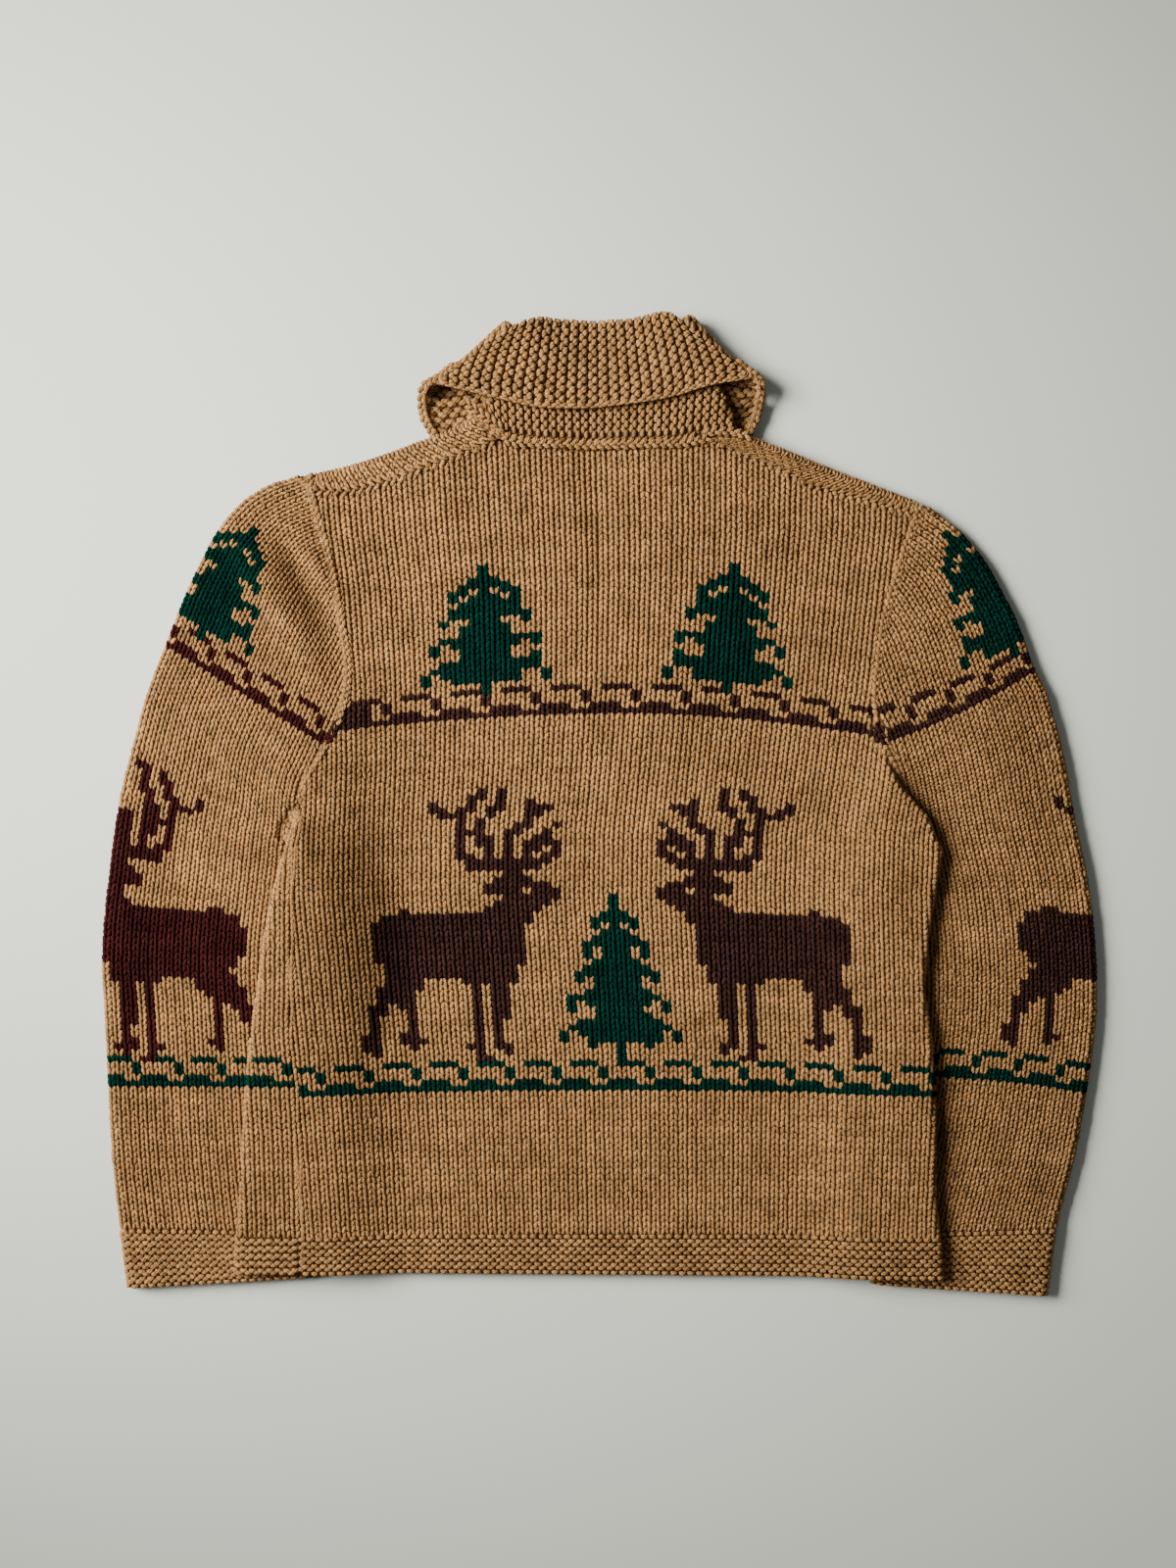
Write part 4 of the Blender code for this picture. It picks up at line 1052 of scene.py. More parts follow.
def lay_grains(name, surface, start, end, half_width, rise, yarns, bow=0.0, base=GROUND,
               grain=PLUMP, tone=1.0):
    """Copies of a grain on a surface, from start to end in flat millimetres."""
    shape, faces = grain
    count, step = len(start), len(shape)
    along = (shape[:, 1] + 1) / 2
    run = end - start
    aside = pair(run[:, 1], -run[:, 0]) / np.linalg.norm(run, axis=1, keepdims=True)
    half_width = np.broadcast_to(half_width, count)
    bow = np.broadcast_to(bow, count)
    rise = np.broadcast_to(rise, count) * (1 + RISE_SPREAD * rng.standard_normal(count))
    side = (shape[:, 0][None, :] * half_width[:, None]
            + np.sin(np.pi * along)[None, :] * bow[:, None])
    points, outside = surface(start[:, None, :] + run[:, None, :] * along[None, :, None]
                              + aside[:, None, :] * side[:, :, None])
    laid = points + outside * (base + shape[:, 2][None, :] * rise[:, None])[..., None]
    laid[..., 2] = np.maximum(laid[..., 2], 0.0)
    corners = np.concatenate(faces)
    corners = (corners[None, :] + step * np.arange(count)[:, None]).ravel()
    sizes = np.tile([len(face) for face in faces], count)
    mesh = bpy.data.meshes.new(name)
    mesh.vertices.add(count * step)
    mesh.vertices.foreach_set("co", (laid * MM).astype(np.float32).ravel())
    mesh.loops.add(len(corners))
    mesh.loops.foreach_set("vertex_index", corners.astype(np.int32))
    mesh.polygons.add(len(sizes))
    starts = np.append(0, np.cumsum(sizes)[:-1])
    mesh.polygons.foreach_set("loop_start", starts.astype(np.int32))
    mesh.update(calc_edges=True)
    local = pair(shape[:, 0] * 0.5 + 0.5, along)
    shift = 3.0 * rng.integers(0, 40, (count, 2))
    set_uv(mesh, "yarn", (local[None] + shift[:, None]).reshape(-1, 2)[corners])
    across = int(np.ceil(np.sqrt(count * 2)))
    down = int(np.ceil(count / across))
    cell = pair(np.arange(count) % across, np.arange(count) // across)
    bake = (0.06 + 0.88 * local[None] + cell[:, None]) / (across, down)
    set_uv(mesh, "OFBake", bake.reshape(-1, 2)[corners])
    middle = laid.mean(axis=1)
    # Painted shade in the folds, times the wool's own darker and lighter lengths along its
    # row
    shade = tone * (1 - swell(middle[:, 0], middle[:, 1], PAINTED_FOLD_SHADE))
    colours = stitch_colours(np.broadcast_to(yarns, count)) * shade[:, None]
    set_colour(mesh, np.repeat(colours, step, axis=0)[corners])
    return put_in(name, mesh, KNIT_WOOL)


def join(name, pieces):
    """Make several laid meshes one piece."""
    bpy.ops.object.select_all(action="DESELECT")
    for piece in pieces:
        piece.select_set(True)
    bpy.context.view_layer.objects.active = pieces[0]
    bpy.ops.object.join()
    pieces[0].name = pieces[0].data.name = name
    return pieces[0]


def wander(count, size):
    return size * rng.standard_normal((count, 2))


def slub(wale, row):
    """Darker and lighter lengths of the wool, which run on along a row."""
    tones = rng.standard_normal(SLUB_TABLE)
    place = np.clip((wale + SLUB_START) / SLUB_LENGTH, 0, SLUB_TABLE[1] - 1.1)
    row = row.astype(int) % SLUB_TABLE[0]
    low, share = place.astype(int), place % 1
    tone = tones[row, low] * (1 - share) + tones[row, low + 1] * share
    return 1 + SLUB_SPREAD * tone


def knit_stitches(name, surface, flat_of, wale, row, yarns, stitch):
    """Two legs for each knit stitch: a V that nests in the one above it."""
    count = len(wale)
    nudge = wander(count, NUDGE)
    feet, tips = [], []
    for side in (-1.0, 1.0):
        foot = flat_of(wale + 0.5 + side * LEG_FOOT[0], row + LEG_FOOT[1]) + nudge
        tip = flat_of(wale + 0.5 + side * LEG_TIP[0], row + LEG_TIP[1]) + nudge
        tips.append(tip + wander(count, LEG_WANDER))
        feet.append(foot + wander(count, LEG_WANDER))
    half = stitch * LEG_WIDTH * (1 + WIDTH_SPREAD * rng.standard_normal(2 * count))
    return lay_grains(name, surface, np.concatenate(feet), np.concatenate(tips), half,
                      LEG_RISE, np.tile(yarns, 2), np.repeat([-LEG_BOW, LEG_BOW], count),
                      grain=SLIM, tone=np.tile(slub(wale, row), 2))


def garter_bumps(name, surface, flat_of, first, last, ridges, rise=LOOP_RISE,
                 base=GROUND, half=LOOP_HALF):
    """Two rows of small arches for each ridge, the second one set over by half."""
    starts, ends, bows = [], [], []
    count = int(last - first)
    for ridge in range(*ridges):
        place = first + np.arange(count) + 0.5
        for shift, level, bow in LOOPS:
            height = np.full(count, ridge + level)
            starts.append(flat_of(place + shift - LOOP_REACH, height))
            ends.append(flat_of(place + shift + LOOP_REACH, height))
            bows.append(np.full(count, -bow))
    start, end = np.concatenate(starts), np.concatenate(ends)
    start, end = [a + wander(len(a), LOOP_WANDER) for a in (start, end)]
    return lay_grains(name, surface, start, end, half, rise, np.zeros(len(start), int),
                      np.concatenate(bows), base)


def braid(name, surface, path, yarn, base=GROUND, dyed=()):
    """Slanted lengths of yarn along a seam; path is a list of flat points."""
    pitch, length, slant, half, rise, both = (*SEAM_YARN[yarn], True)[:6]
    path = np.array(path, float)
    run = np.append(0, np.cumsum(np.linalg.norm(np.diff(path, axis=0), axis=1)))
    at = np.arange(pitch / 2, run[-1], pitch)
    middle, ahead, behind = [pair(*[np.interp(at + step, run, path[:, i]) for i in (0, 1)])
                             for step in (0, 1, -1)]
    way = (ahead - behind) / np.linalg.norm(ahead - behind, axis=1, keepdims=True)
    across = pair(-way[:, 1], way[:, 0])
    tilt = np.radians(slant)
    inset, before, after = (0.12, 0.35, 0.65) if both else (0.0, 0.5, 0.5)
    starts, ends = [], []
    for sign in ((1.0, -1.0) if both else (1.0,)):
        shift = middle + way * (0.0 if sign > 0 else pitch / 2)
        lean = way * np.cos(tilt) + sign * across * np.sin(tilt)
        inner = shift + sign * across * (inset * length)
        starts.append(inner - (lean * length * before))
        ends.append(inner + (lean * length * after))
    start, end = np.concatenate(starts), np.concatenate(ends)
    start, end = [a + wander(len(a), BRAID_WANDER) for a in (start, end)]
    yarns = np.zeros(len(start), int)
    for x, y, reach, colour in dyed:
        near = np.hypot(*((start + end) / 2 - (x, y)).T) < reach
        yarns[near] = YARNS.index(colour)
    return lay_grains(name, surface, start, end, half, rise, yarns, BRAID_BOW, base)


# ---------------------------------------------------------------- ground sheets

def ground_sheet(name, points, outside, stitch_uv, yarns, top, under, node,
                 inner_shade=INNER_SIDE):
    """Closed sheet of cloth on a mid surface, in place of a solid."""
    rows, cols = points.shape[:2]
    vertices = np.concatenate([
        (points + outside * np.broadcast_to(top, (rows, cols))[..., None]).reshape(-1, 3),
        (points - outside * under).reshape(-1, 3)])
    vertices[:, 2] = np.maximum(vertices[:, 2], 0.0)
    count = rows * cols
    r, c = np.meshgrid(np.arange(rows - 1), np.arange(cols - 1), indexing="ij")
    first = r * cols + c
    quad = np.stack([first, first + 1, first + cols + 1, first + cols], -1).reshape(-1, 4)
    index = np.arange(count).reshape(rows, cols)
    rim = np.concatenate([index[0, :-1], index[:-1, -1], index[-1, :0:-1], index[:0:-1, 0]])
    after = np.roll(rim, -1)
    wall = np.stack([after, rim, rim + count, after + count], -1)
    faces = np.concatenate([quad, quad[:, ::-1] + count, wall])
    a, b = rows // 2, cols // 3
    square = np.cross(points[a, b + 1] - points[a, b], points[a + 1, b] - points[a, b])
    if square @ outside[a, b] < 0:
        faces = faces[:, ::-1]
    mesh = bpy.data.meshes.new(name)
    mesh.from_pydata(vertices * MM, [], faces.tolist())
    corners = faces.ravel()
    set_uv(mesh, "yarn", np.tile(stitch_uv.reshape(-1, 2), (2, 1))[corners])
    grid = pair(*np.meshgrid(np.linspace(0.01, 0.49, cols), np.linspace(0.01, 0.99, rows)))
    bake = np.concatenate([grid.reshape(-1, 2), grid.reshape(-1, 2) + (0.5, 0)])
    set_uv(mesh, "OFBake", bake[corners])
    face_yarn = np.concatenate([yarns.ravel(), yarns.ravel(), np.zeros(len(wall), int)])
    # Faces under the stitches are darkened: painted shade for the gaps between the stitches
    downward = outside[:-1, :-1, 2].ravel() < -0.2
    shade = np.concatenate([np.where(downward, PLAIN_FACE, PAINTED_GAP_SHADE),
                            np.full(len(quad), inner_shade), np.full(len(wall), CUT_EDGE)])
    colours = np.array([WOOL[name] for name in YARNS])[face_yarn] * shade[:, None]
    set_colour(mesh, np.repeat(colours, 4, axis=0))
    piece = put_in(name, mesh, GROUND_WOOL)
    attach(piece, "root")
    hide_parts(node)
    return piece


def area_of(points):
    """Area of a grid of points, in square metres."""
    across = points[:-1, 1:] - points[:-1, :-1]
    up = points[1:, :-1] - points[:-1, :-1]
    return float(np.linalg.norm(np.cross(across, up), axis=-1).sum()) * MM * MM


def dress(piece):
    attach(piece, "root")
    return piece


def fine_rows(step):
    """Places of the body's fine rows, between the coarse ones."""
    places = [0.0]
    for k, high in enumerate(np.maximum(np.diff(LEFT_Y), np.diff(RIGHT_Y))):
        count = max(int(round(high / step)), 1)
        places += list(k + np.arange(1, count + 1) / count)
    return np.array(places)


def past_edge(reach, count):
    """Steps past a fold's centre line, or a sliver where the cloth ends at it."""
    if reach > 0.2:
        return np.linspace(0, reach, count + 1)[1:]
    return np.arange(1, count + 1) * 1e-3


def back_ground():
    """The back, one quad to about one stitch."""
    at = fine_rows(ROW)
    left_y, right_y = np.interp(at, BODY_ROWS, LEFT_Y), np.interp(at, BODY_ROWS, RIGHT_Y)
    edges = [np.interp(at, BODY_ROWS, BACK_EDGES[:, i]) for i in range(4)]
    rows, outs = [], []
    for k, place in enumerate(at):
        left, left_reach, right, right_reach = [edge[k] for edge in edges]
        first = left - min(left_reach, 0.0)
        flat_x = np.concatenate([
            first - past_edge(left_reach, BACK_PAST["left"])[::-1],
            first + (right - first) * np.linspace(0, 1, BACK_COLUMNS),
            right + past_edge(right_reach, BACK_PAST["right"])])
        t = np.clip((flat_x - left) / (right - left), 0, 1)
        y = left_y[k] + (right_y[k] - left_y[k]) * t
        arm = place - FIRST_ARM
        if arm > V_FOOT_ROW:
            weight = ((arm - V_FOOT_ROW) / (len(ARMHOLES) - 1 - V_FOOT_ROW)) ** 1.5
            chord = ARMHOLES[-1][1] + (ARMHOLES[-1][3] - ARMHOLES[-1][1]) * t
            y = y + weight * (look_up(BACK_TOP, 1, flat_x) - chord - SEAM_SIDE)
        sign = np.where(flat_x > 0, 1.0, -1.0)
        past = np.maximum(np.maximum(flat_x - right, left - flat_x), 0.0)
        onward, down, aside, up = roll(past)
        x = np.where(past > 0, np.clip(flat_x, left, right) + sign * onward, flat_x)
        rows.append(np.stack([x, y, body_height(x, y, 2 * BEND - down)], -1))
        outs.append(np.stack([sign * aside, 0 * x, up], -1))
    return np.array(rows), np.array(outs)


def front_neck(side, arm, level):
    """Middle or neck edge of one of the coarse rows of a front."""
    middle_start = (HEM[0] + HEM[1]) / 2
    if arm < 0:
        return 0.0, middle_start + (level[arm + FIRST_ARM] - level[0])
    foot = NECK_EDGE[0][0]
    if arm < V_FOOT_ROW:
        below = middle_start + level[FIRST_ARM - 1] - level[0]
        return 0.0, below + (foot - below) * (arm + 1) / (V_FOOT_ROW + 1)
    rise = (arm - V_FOOT_ROW) / (len(ARMHOLES) - 1 - V_FOOT_ROW)
    neck_y = foot + (FRONT_TOP[side] - foot) * rise
    return look_up(NECK_EDGE, 1 if side == "left" else 2, neck_y), neck_y


def front_ground(side):
    """A front: hem to shoulder fold below, then over the shoulder to its seam."""
    sign = OUTWARD[side]
    at = fine_rows(ROW)
    level = LEFT_Y if side == "left" else RIGHT_Y
    table = np.array([(level[k], *side_edge(side, k - FIRST_ARM, level[k], -1),
                       *front_neck(side, k - FIRST_ARM, level)) for k in BODY_ROWS])
    rows, outs = [], []
    for place in at:
        side_y, end_x, reach, neck_x, neck_y = [np.interp(place, BODY_ROWS, table[:, i])
                                                for i in range(5)]
        start_x = neck_x + sign * SEAM_SIDE
        past = np.linspace(0, max(reach, 0.01), FRONT_PAST[side] + 1)[1:]
        onward, upward, aside, down = roll(past)
        x = np.append(start_x + (end_x - start_x) * np.linspace(0, 1, FRONT_COLUMNS),
                      end_x + sign * onward)
        y = neck_y + (side_y - neck_y) * np.clip((x - start_x) / (end_x - start_x), 0, 1)
        still = np.zeros(FRONT_COLUMNS)
        rows.append(np.stack([x, y, body_height(x, y, np.append(still, upward))], -1))
        outs.append(np.stack([np.append(still, sign * aside), 0 * x,
                              np.append(still - 1, -down)], -1))
    last = rows[-1]
    share = (last[:, 0] - last[0, 0]) / (last[-1, 0] - last[0, 0])
    seam, fold = shoulder_lines(side, share)
    for angle in np.linspace(0, np.pi, 8):
        y = fold[:, 1] + BEND * np.sin(angle)
        z = body_height(fold[:, 0], y, BEND * (1 - np.cos(angle)))
        rows.append(np.stack([fold[:, 0], y, z], -1))
        outs.append(np.tile([0.0, np.sin(angle), -np.cos(angle)], (len(share), 1)))
    for part in (0.33, 0.67, 1.0):
        plan = fold + (seam - fold) * part
        rows.append(np.column_stack([plan, body_height(*plan.T, 2 * BEND)]))
        outs.append(np.tile([0.0, 0.0, 1.0], (len(share), 1)))
    return np.array(rows), np.array(outs)


def sleeve_ground(side):
    table, length = SLEEVES[side]
    up = np.linspace(length[0], length[-1], int((length[-1] - length[0]) / ROW))
    full = sleeve_width(side, up) + through(length, table, up)[:, 5]
    share = np.linspace(-1, 1, SLEEVE_COLUMNS)
    flat = pair(share[None, :] * full[:, None], np.repeat(up[:, None], len(share), 1))
    return *sleeve(side)(flat), flat


def plain_underneath(outs):
    """How far out the ground's face is: less where stitches lie on it."""
    return PLAIN - (PLAIN - GROUND) * ease((outs[..., 2] + 0.8) / 0.3)


def ridge_height(ridge, low, top, ridges):
    """Height of a garter ridge between the edges of its band."""
    return low + (top - RIDGE_GAP - low) * ((np.asarray(ridge) + 0.5) / ridges)


# ---------------------------------------------------------------- body

UPPER_FIELD = 66                # row where the upper field of the back's stitches begins


def build_body():
    cloth, strip = back_cloth(), strip_cloth()
    points, outs = back_ground()
    wale, row = wale_of(points[..., 0], points[..., 1])
    back = ground_sheet("back_ground", points, outs, pair(wale, row),
                        yarn_at(cloth, between(wale), between(row)), GROUND, WALL / 2,
                        "back")
    fronts = {}
    for side in OUTWARD:
        front_points, outs = front_ground(side)
        wale, row = wale_of(front_points[..., 0], front_points[..., 1])
        sheet = ground_sheet("front_%s_ground" % side, front_points, outs,
                             pair(wale, row), yarn_at(strip, between(wale), between(row)),
                             plain_underneath(outs), WALL / 2, "front_" + side)
        fronts[side] = sheet, round(area_of(front_points), 4)
    stitches = back_stitches(cloth)
    strips = strip_stitches(strip)
    round(area_of(points), 4)
    for side, width in (("left", 0.36), ("right", 0.28)):
        sheet, area = fronts[side]
        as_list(strips[side])


def back_stitches(cloth):
    """The back's knit stitches, its garter hem, and the seam at its neck."""
    wale, row = stitch_field(*BACK_FIELD)
    x, y = body_flat(wale + 0.5, row + 0.6).T
    left = np.interp(y, LEFT_Y, BACK_EDGES[:, 0] - BACK_EDGES[:, 1])
    right = np.interp(y, RIGHT_Y, BACK_EDGES[:, 2] + BACK_EDGES[:, 3])
    keep = (x > left - 0.2) & (x < right - 2.0) & (y < look_up(BACK_TOP, 1, x) - 1.6)
    wale, row = wale[keep], row[keep]
    pieces = []
    for name, part in (("back_lower_stitches", row < UPPER_FIELD),
                       ("back_upper_stitches", row >= UPPER_FIELD)):
        yarns = yarn_at(cloth, wale[part] + 0.5, row[part] + 0.5)
        pieces.append(knit_stitches(name, body_top, body_flat, wale[part], row[part],
                                    yarns, BACK_STITCH))

    def hem_flat(stitch, ridge):
        x = stitch * HEM_STITCH
        low = np.interp(x, (-230, 265), HEM)
        return pair(x, ridge_height(ridge, low, HEM_TOP, HEM_RIDGES))

    neck = [(x, look_up(BACK_TOP, 1, x) + 0.6)
            for x in np.linspace(*NECK_CORNERS.values(), 30)]
    pieces.append(braid("neck_seam", body_top, neck, "neck", base=2.2))
    pieces.append(garter_bumps("back_hem", body_top, hem_flat, -35.2, 41.5,
                               (0, HEM_RIDGES)))
    return [dress(piece) for piece in pieces]


def left_seam(y):
    """Where the left side seam lies, turned over to the back's side."""
    return look_up(SIDES, 1, y) + look_up(SIDES, 2, y)


def strip_stitches(cloth):
    """What shows of the fronts: round the left fold, and over the shoulders."""
    def strip_flat(wales, rows):
        y = HEM_TOP + rows * ROW
        return pair(left_seam(y) - SEAM_SIDE + wales * STRIP_STITCH, y)

    def strip_hem(stitch, ridge):
        x = left_seam(HEM_TOP) - 0.6 - stitch * HEM_STITCH
        return pair(x, ridge_height(ridge, HEM[0], HEM_TOP, HEM_RIDGES))

    wale, row = stitch_field(*STRIP_FIELD)
    x, y = strip_flat(wale + 0.5, row + 0.5).T
    keep = (x > np.interp(y, LEFT_Y, BACK_EDGES[:, 0]) - 7) & (wale < -0.4) & (y < 1)
    wale, row = wale[keep], row[keep]
    yarns = yarn_at(cloth, wale + 0.5, row + 0.5)
    at = np.linspace(-8, HEM[0] + 2, 80)
    seam = np.column_stack([left_seam(at) + 1.9 + 0.4 * np.sin(at / 9.0), at])
    found = {"left": [knit_stitches("strip_stitches", body_top, strip_flat, wale, row,
                                    yarns, STRIP_STITCH),
                      garter_bumps("strip_hem", body_top, strip_hem, 0, 10,
                                   (0, HEM_RIDGES)),
                      braid("side_seam", body_top, seam, "side")],
             "right": []}
    for side in OUTWARD:
        found[side] += shoulder_stitches(side)
    for side in OUTWARD:
        found[side] += [neck_side(side), shoulder_point(side)]
        found[side] = [dress(join("front_%s_stitches" % side, found[side]))]
    return found


def shoulder_stitches(side):
    length = shoulder_length(side)
    count = int(length / BACK_STITCH)
    surface = shoulder(side)

    def flat_of(along, up):
        return pair(along * length / count + 0.33 * up * ROW, 1.6 + up * ROW)

    along, up = stitch_field((-4, count + 4), (0, 8))
    middle = flat_of(along + 0.5, up + 0.6)[:, 0]
    seam, fold = shoulder_lines(side, np.clip(middle / length, 0, 1))
    wide = np.linalg.norm(fold - seam, axis=-1)
    keep = (1.6 + (up + 1) * ROW < wide + 10) & (middle > 0) & (middle < length)
    return [knit_stitches("shoulder_%s_stitches" % side, surface, flat_of, along[keep],
                          up[keep], np.zeros(keep.sum(), int), SHOULDER_STITCH),
            braid("shoulder_%s_seam" % side, surface,
                  [(a, 0.0) for a in np.linspace(0, length, 30)], "shoulder")]


# ---------------------------------------------------------------- sleeves

def build_sleeve(side):
    cloth = sleeve_cloth(side)
    points, outs, flat = sleeve_ground(side)
    wale, row = flat[..., 0] / SLEEVE_STITCH, flat[..., 1] / ROW
    ground = ground_sheet("sleeve_%s_ground" % side, points, outs, pair(wale, row),
                          yarn_at(cloth, between(wale), between(row)),
                          plain_underneath(outs), WALL / 2, "sleeve_" + side)
    surface = sleeve(side)
    low, high = SLEEVES[side][1][[0, -1]]

    def flat_of(wales, rows):
        return sleeve_place(side, wales, rows)

    def cuff_flat(stitch, ridge):
        return pair(stitch * CUFF_STITCH, ridge_height(ridge, low, 0.0, CUFF_RIDGES))

    wale, row = stitch_field((-2, 30), (0, int(high / ROW) + 12))
    across, up = flat_of(wale + 0.5, row + 0.8).T
    keep = (across < sleeve_width(side, up) + 1.8) & (up < high + 1.5)
    wale, row = wale[keep], row[keep]
    x, y, _ = surface(flat_of(wale + 0.5, row + 0.5))[0].T
    edge = np.where(x < 0, -look_up(SIDES, 1, y), look_up(SIDES, 3, y))
    seen = (np.abs(x) >= edge - 9) | (y >= (0 if side == "left" else 30))
    wale, row = wale[seen], row[seen]
    yarns = yarn_at(cloth, wale + 0.5, row + 0.5)
    pieces = [knit_stitches("sleeve_%s_stitches" % side, surface, flat_of, wale, row,
                            yarns, SLEEVE_STITCH),
              garter_bumps("sleeve_%s_cuff" % side, surface, cuff_flat, -2.0, 21.0,
                           (0, CUFF_RIDGES)),
              braid("armhole_%s_seam" % side, body_top, armhole_path(side), "armhole",
                    dyed=BAND_ENDS),
              underarm(side)]
    round(area_of(points), 4)
    [dress(piece) for piece in pieces]


def armhole_path(side):
    """The armhole's seam, and on over the shoulder."""
    seam = column(ARMHOLES, ARM_X[side]), column(ARMHOLES, ARM_X[side] + 1)
    index = np.arange(len(ARMHOLES))
    at = np.linspace(0, index[-1], 60)
    path = pair(*[through(index, values, at) for values in seam])
    over = np.array([(0.3, 3.5), (0.0, 7.0), (-0.5, 10.0)])
    return np.concatenate([path, path[-1] + over * (1.0 if side == "left" else 0.75)])


def level_cloth(height):
    """A flat surface at a height above the floor."""
    def surface(flat):
        still = 0 * flat[..., 0]
        return (np.stack([flat[..., 0], flat[..., 1], still + height], -1),
                np.stack([still, still, still + 1], -1))

    return surface


def packed(name, strands, dyed=()):
    """Braids side by side as one piece; each has a surface, a path and its yarn."""
    return join(name, [braid("%s_%d" % (name, i), *strand, dyed=dyed)
                       for i, strand in enumerate(strands)])


# Where a sleeve goes in under the body below its armhole.
UNDERARM = {"left": [(-223, 32), (-227, 19), (-231, 7), (-236, -4), (-241, -14),
                     (-244, -26), (-246, -38)],
            "right": [(214, 62), (217, 52), (222, 42), (228, 31), (232, 20), (237, 8),
                      (245, -6)]}
UNDERARM_LIFT = {"left": 2.2, "right": 0.0}
# Ends of the borders on the seams: x, y, reach, yarn.
BAND_ENDS = [(213, 57, 6, "brown"), (219, 53, 6, "brown"), (-203.5, 60, 4.5, "brown"),
             (-208.5, 53, 4, "maroon")]
# Ends of the neck seam beside the collar's stand, on the shoulders, and the way down.
NECK_SIDES = {"left": [(-72, 288), (-80, 294), (-90, 301.5), (-99, 308)],
              "right": [(79, 287.5), (90, 289), (101, 288.5), (114, 286)]}
NECK_DOWN = {"left": (-2.5, -4.5), "right": (-1.0, -3.5)}
# Where the armhole seam goes over the shoulder.
SHOULDER_POINTS = {"left": [(-235, 249.5), (-229, 252), (-222, 252.5), (-215, 254)],
                   "right": [(238, 236), (245, 231), (251, 228), (257, 225)]}
# Rolled rim of the collar's tips at the sides of the neck, and its height by y.
COLLAR_TIPS = {"left": [(-108.5, 343), (-120.5, 333), (-129.5, 327), (-134, 324.3),
                        (-136.6, 320), (-137.2, 313), (-136, 303), (-132.3, 295),
                        (-129, 289)],
               "right": [(105, 344), (112, 338), (119, 333), (124, 328), (125.8, 322.5),
                         (124.6, 312), (121.8, 300.5), (117.6, 291.5)]}
TIP_HEIGHTS = [(288, 4.5), (309, 6), (317, 10), (321, 13), (326, 16), (345, 14)]


def underarm(side):
    """Yarn of the underarm seam, deep between the body and the sleeve."""
    path, lift = np.array(UNDERARM[side], float), UNDERARM_LIFT[side]
    strands = [(level_cloth(level + lift), path + (shift, 0), "underarm")
               for shift, level in ((-7.6, 6.6), (-3.8, 7.8), (0.0, 8.6), (3.8, 7.6))]
    return packed("underarm_%s" % side, strands, BAND_ENDS)


def neck_side(side):
    path = np.array(NECK_SIDES[side])
    strands = [(level_cloth(14.2), path, "neck side"),
               (level_cloth(10.8), path + NECK_DOWN[side], "neck below")]
    return packed("neck_side_%s" % side, strands)


def shoulder_point(side):
    path = np.array(SHOULDER_POINTS[side])
    strands = [(level_cloth(level), path + (0, shift), "point")
               for level, shift in ((3.4, 0.8), (6.6, -1.2))]
    return packed("shoulder_point_%s" % side, strands)


# ---------------------------------------------------------------- collar

# Its ridges: name, face, first and last stitch across, ridges, rise, base, half width.
COLLAR_RIDGES = [("fall_bumps", "outer", 9.0, None, (-24, 25), 2.8, 0.8, 2.15),
                 ("stand_bumps", "inner", 0.7, 9.2, (-17, 18), 2.7, 0.7, 2.1),
                 ("left_loop", "inner", 9.0, None, (-24, -15), 2.5, 0.7, 2.3),
                 ("right_loop", "inner", 9.0, None, (16, 25), 2.5, 0.7, 2.3)]
# Braids along its free edge: name, face, place past the edge, ridges, points, yarn, base.
COLLAR_EDGES = [("edge", "outer", -0.8, (-26, 26), 90, "free edge", GROUND),
                ("left_edge", "inner", -1.6, (-25.5, -14), 40, "lapel edge", GROUND),
                ("right_edge", "inner", -1.6, (14, 25.5), 40, "lapel edge", GROUND),
                ("edge_rim", "outer", 0.6, (-26, 26), 90, "rim", -1.2)]


def tip_cloth(flat):
    places, up = level_cloth(0.0)(flat)
    places[..., 2] = look_up(TIP_HEIGHTS, 1, flat[..., 1])
    return places, up


def collar_tip(side):
    path = np.array(COLLAR_TIPS[side])
    inner = path + (-1.6 * OUTWARD[side], -1.2)
    return packed("collar_tip_" + side, [(tip_cloth, path, "tip"),
                                         (tip_cloth, inner, "tip inside")])


def build_collar():
    points, outs, _ = collar_rows()
    rows, cols = points.shape[:2]
    uv = pair(*np.meshgrid(np.arange(cols) / 2.0, np.arange(rows) / 2.0))
    # Its inner face is darkened: painted shade for the gaps between the stand's bumps
    ground = ground_sheet("collar_ground", points, outs, uv,
                          np.zeros((rows - 1, cols - 1), int), GROUND, 0.9, "collar",
                          inner_shade=0.45)
    faces = {"outer": collar(1.0), "inner": collar(-1.0)}
    total = COLLAR_WIDTH[-1]

    def ridge_flat(stitch, ridge):
        return pair(ridge * COLLAR_UNIT, stitch * COLLAR_STITCH)

    def line(across, ends, count):
        return [(a, across) for a in np.linspace(*(np.array(ends) * COLLAR_UNIT), count)]

    pieces = [garter_bumps("collar_" + name, faces[face], ridge_flat, first,
                           last or total / COLLAR_STITCH - 0.35, *measures)
              for name, face, first, last, *measures in COLLAR_RIDGES]
    pieces += [braid("collar_" + name, faces[face], line(total + out, ends, count), yarn,
                     base)
               for name, face, out, ends, count, yarn, base in COLLAR_EDGES]
    pieces += [collar_tip("left"), collar_tip("right"),
               braid("collar_seam", faces["inner"], line(1.6, (-13, 13), 60), "collar")]
    round(area_of(points), 4)
    [dress(piece) for piece in pieces]


# ---------------------------------------------------------------- camera and light

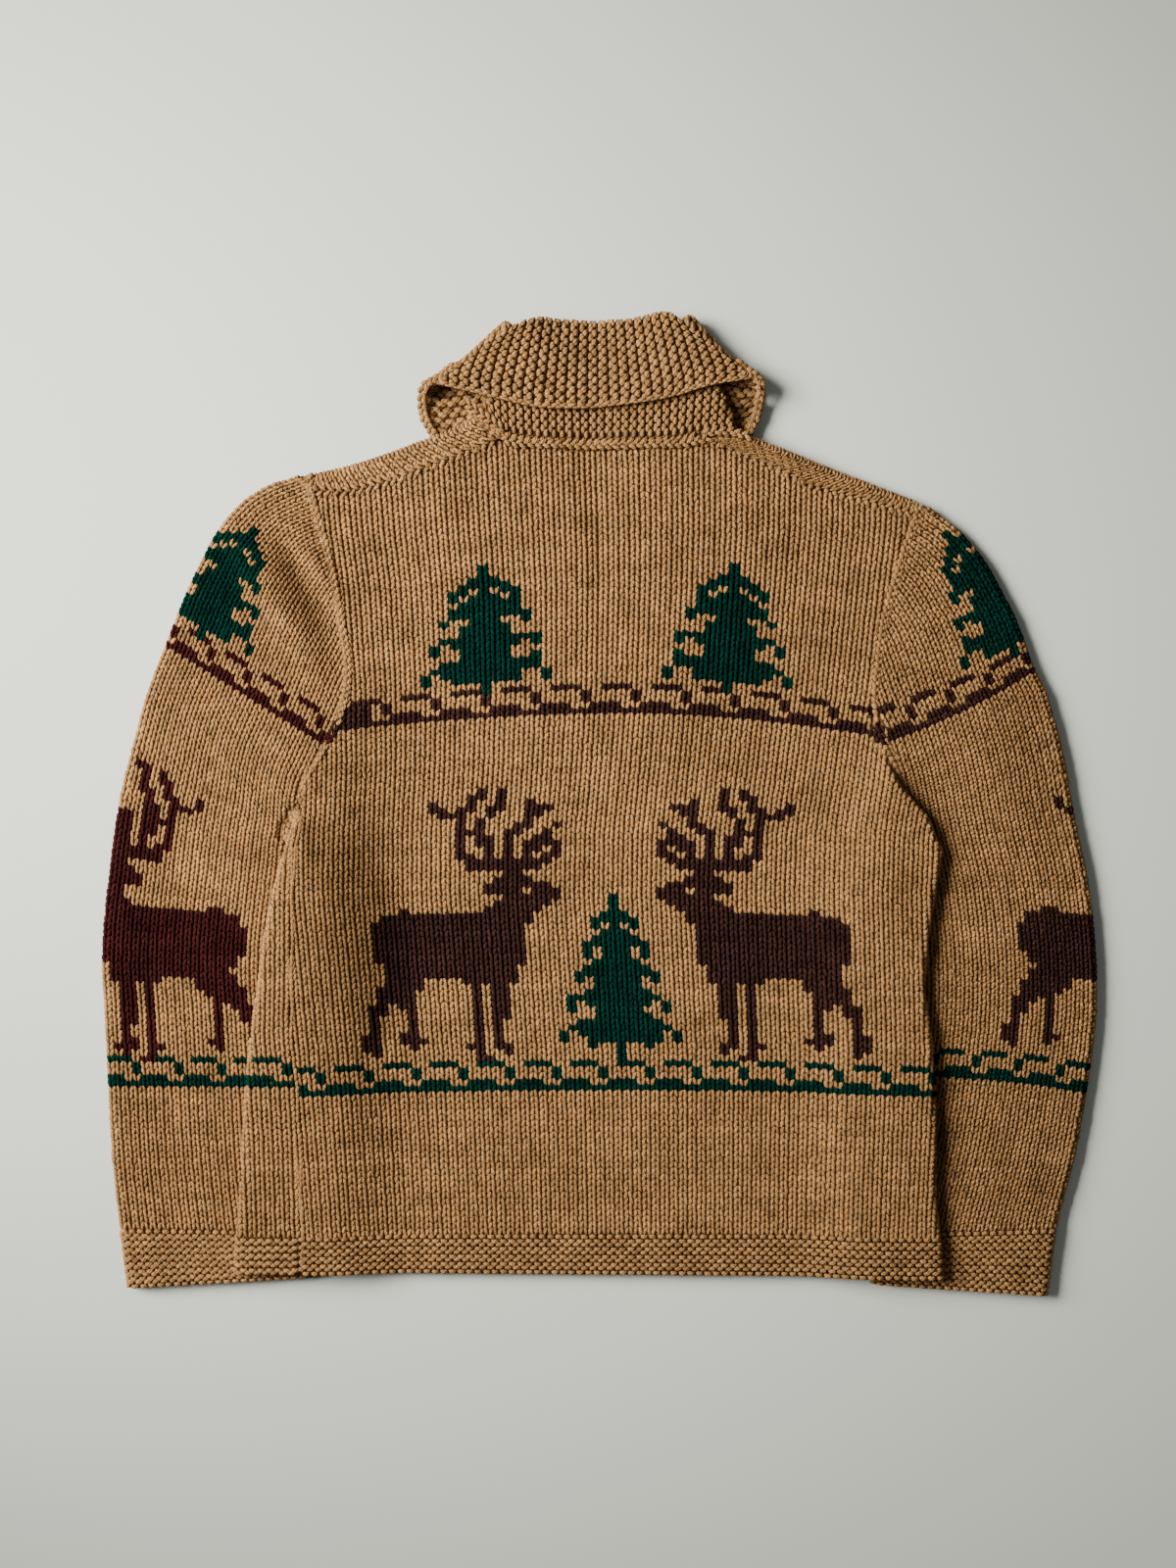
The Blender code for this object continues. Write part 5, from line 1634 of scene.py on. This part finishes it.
CAMERA_PLACE = (-0.0087, 0.0163, 1.699)
FLOOR_SIZE, FLOOR_DROP = 6.0, 0.0005
PAPER = (0.598, 0.615, 0.545, 1.0)
SKY, SKY_STRENGTH = (0.93, 0.97, 1.0, 1.0), 0.165
WINDOW_PLACE, WINDOW_AIM = Vector((-1.55, 0.5, 1.1)), Vector((-0.34, 0.17, 0))
WINDOW_SIZE, WINDOW_POWER, WINDOW_COLOUR = 1.2, 25, (1.0, 0.985, 0.955)
WINDOW_SPREAD = 60


def window():
    """The one lamp, a soft window at the left."""
    light = bpy.data.lights.new("window", "AREA")
    light.shape = "RECTANGLE"
    light.size = light.size_y = WINDOW_SIZE
    light.energy, light.color = WINDOW_POWER, WINDOW_COLOUR
    light.spread = np.radians(WINDOW_SPREAD)
    lamp = bpy.data.objects.new("window", light)
    bpy.context.scene.collection.objects.link(lamp)
    lamp.location = WINDOW_PLACE
    lamp.rotation_euler = (WINDOW_AIM - WINDOW_PLACE).to_track_quat("-Z", "Y").to_euler()


def floor():
    bpy.ops.object.select_all(action="DESELECT")
    bpy.ops.mesh.primitive_plane_add(size=FLOOR_SIZE)
    plane = bpy.context.object
    plane.name = "floor"
    for vertex in plane.data.vertices:
        vertex.co.z = -FLOOR_DROP
    paper = bpy.data.materials.new("paper")
    paper.use_nodes = True
    shader = paper.node_tree.nodes["Principled BSDF"].inputs
    shader["Base Color"].default_value = PAPER
    shader["Roughness"].default_value = 0.9
    plane.data.materials.append(paper)


def camera_and_light():
    lens = bpy.data.cameras.new("camera")
    lens.lens, lens.sensor_width = 50, 36
    camera = bpy.data.objects.new("camera", lens)
    camera.location = CAMERA_PLACE
    bpy.context.scene.collection.objects.link(camera)
    bpy.context.scene.camera = camera
    floor()
    bpy.context.scene.world = world = bpy.data.worlds.new("studio")
    world.use_nodes = True
    sky = world.node_tree.nodes["Background"].inputs
    sky["Color"].default_value, sky["Strength"].default_value = SKY, SKY_STRENGTH
    window()


camera_and_light()
build_body()
for sleeve_side in OUTWARD:
    build_sleeve(sleeve_side)
build_collar()
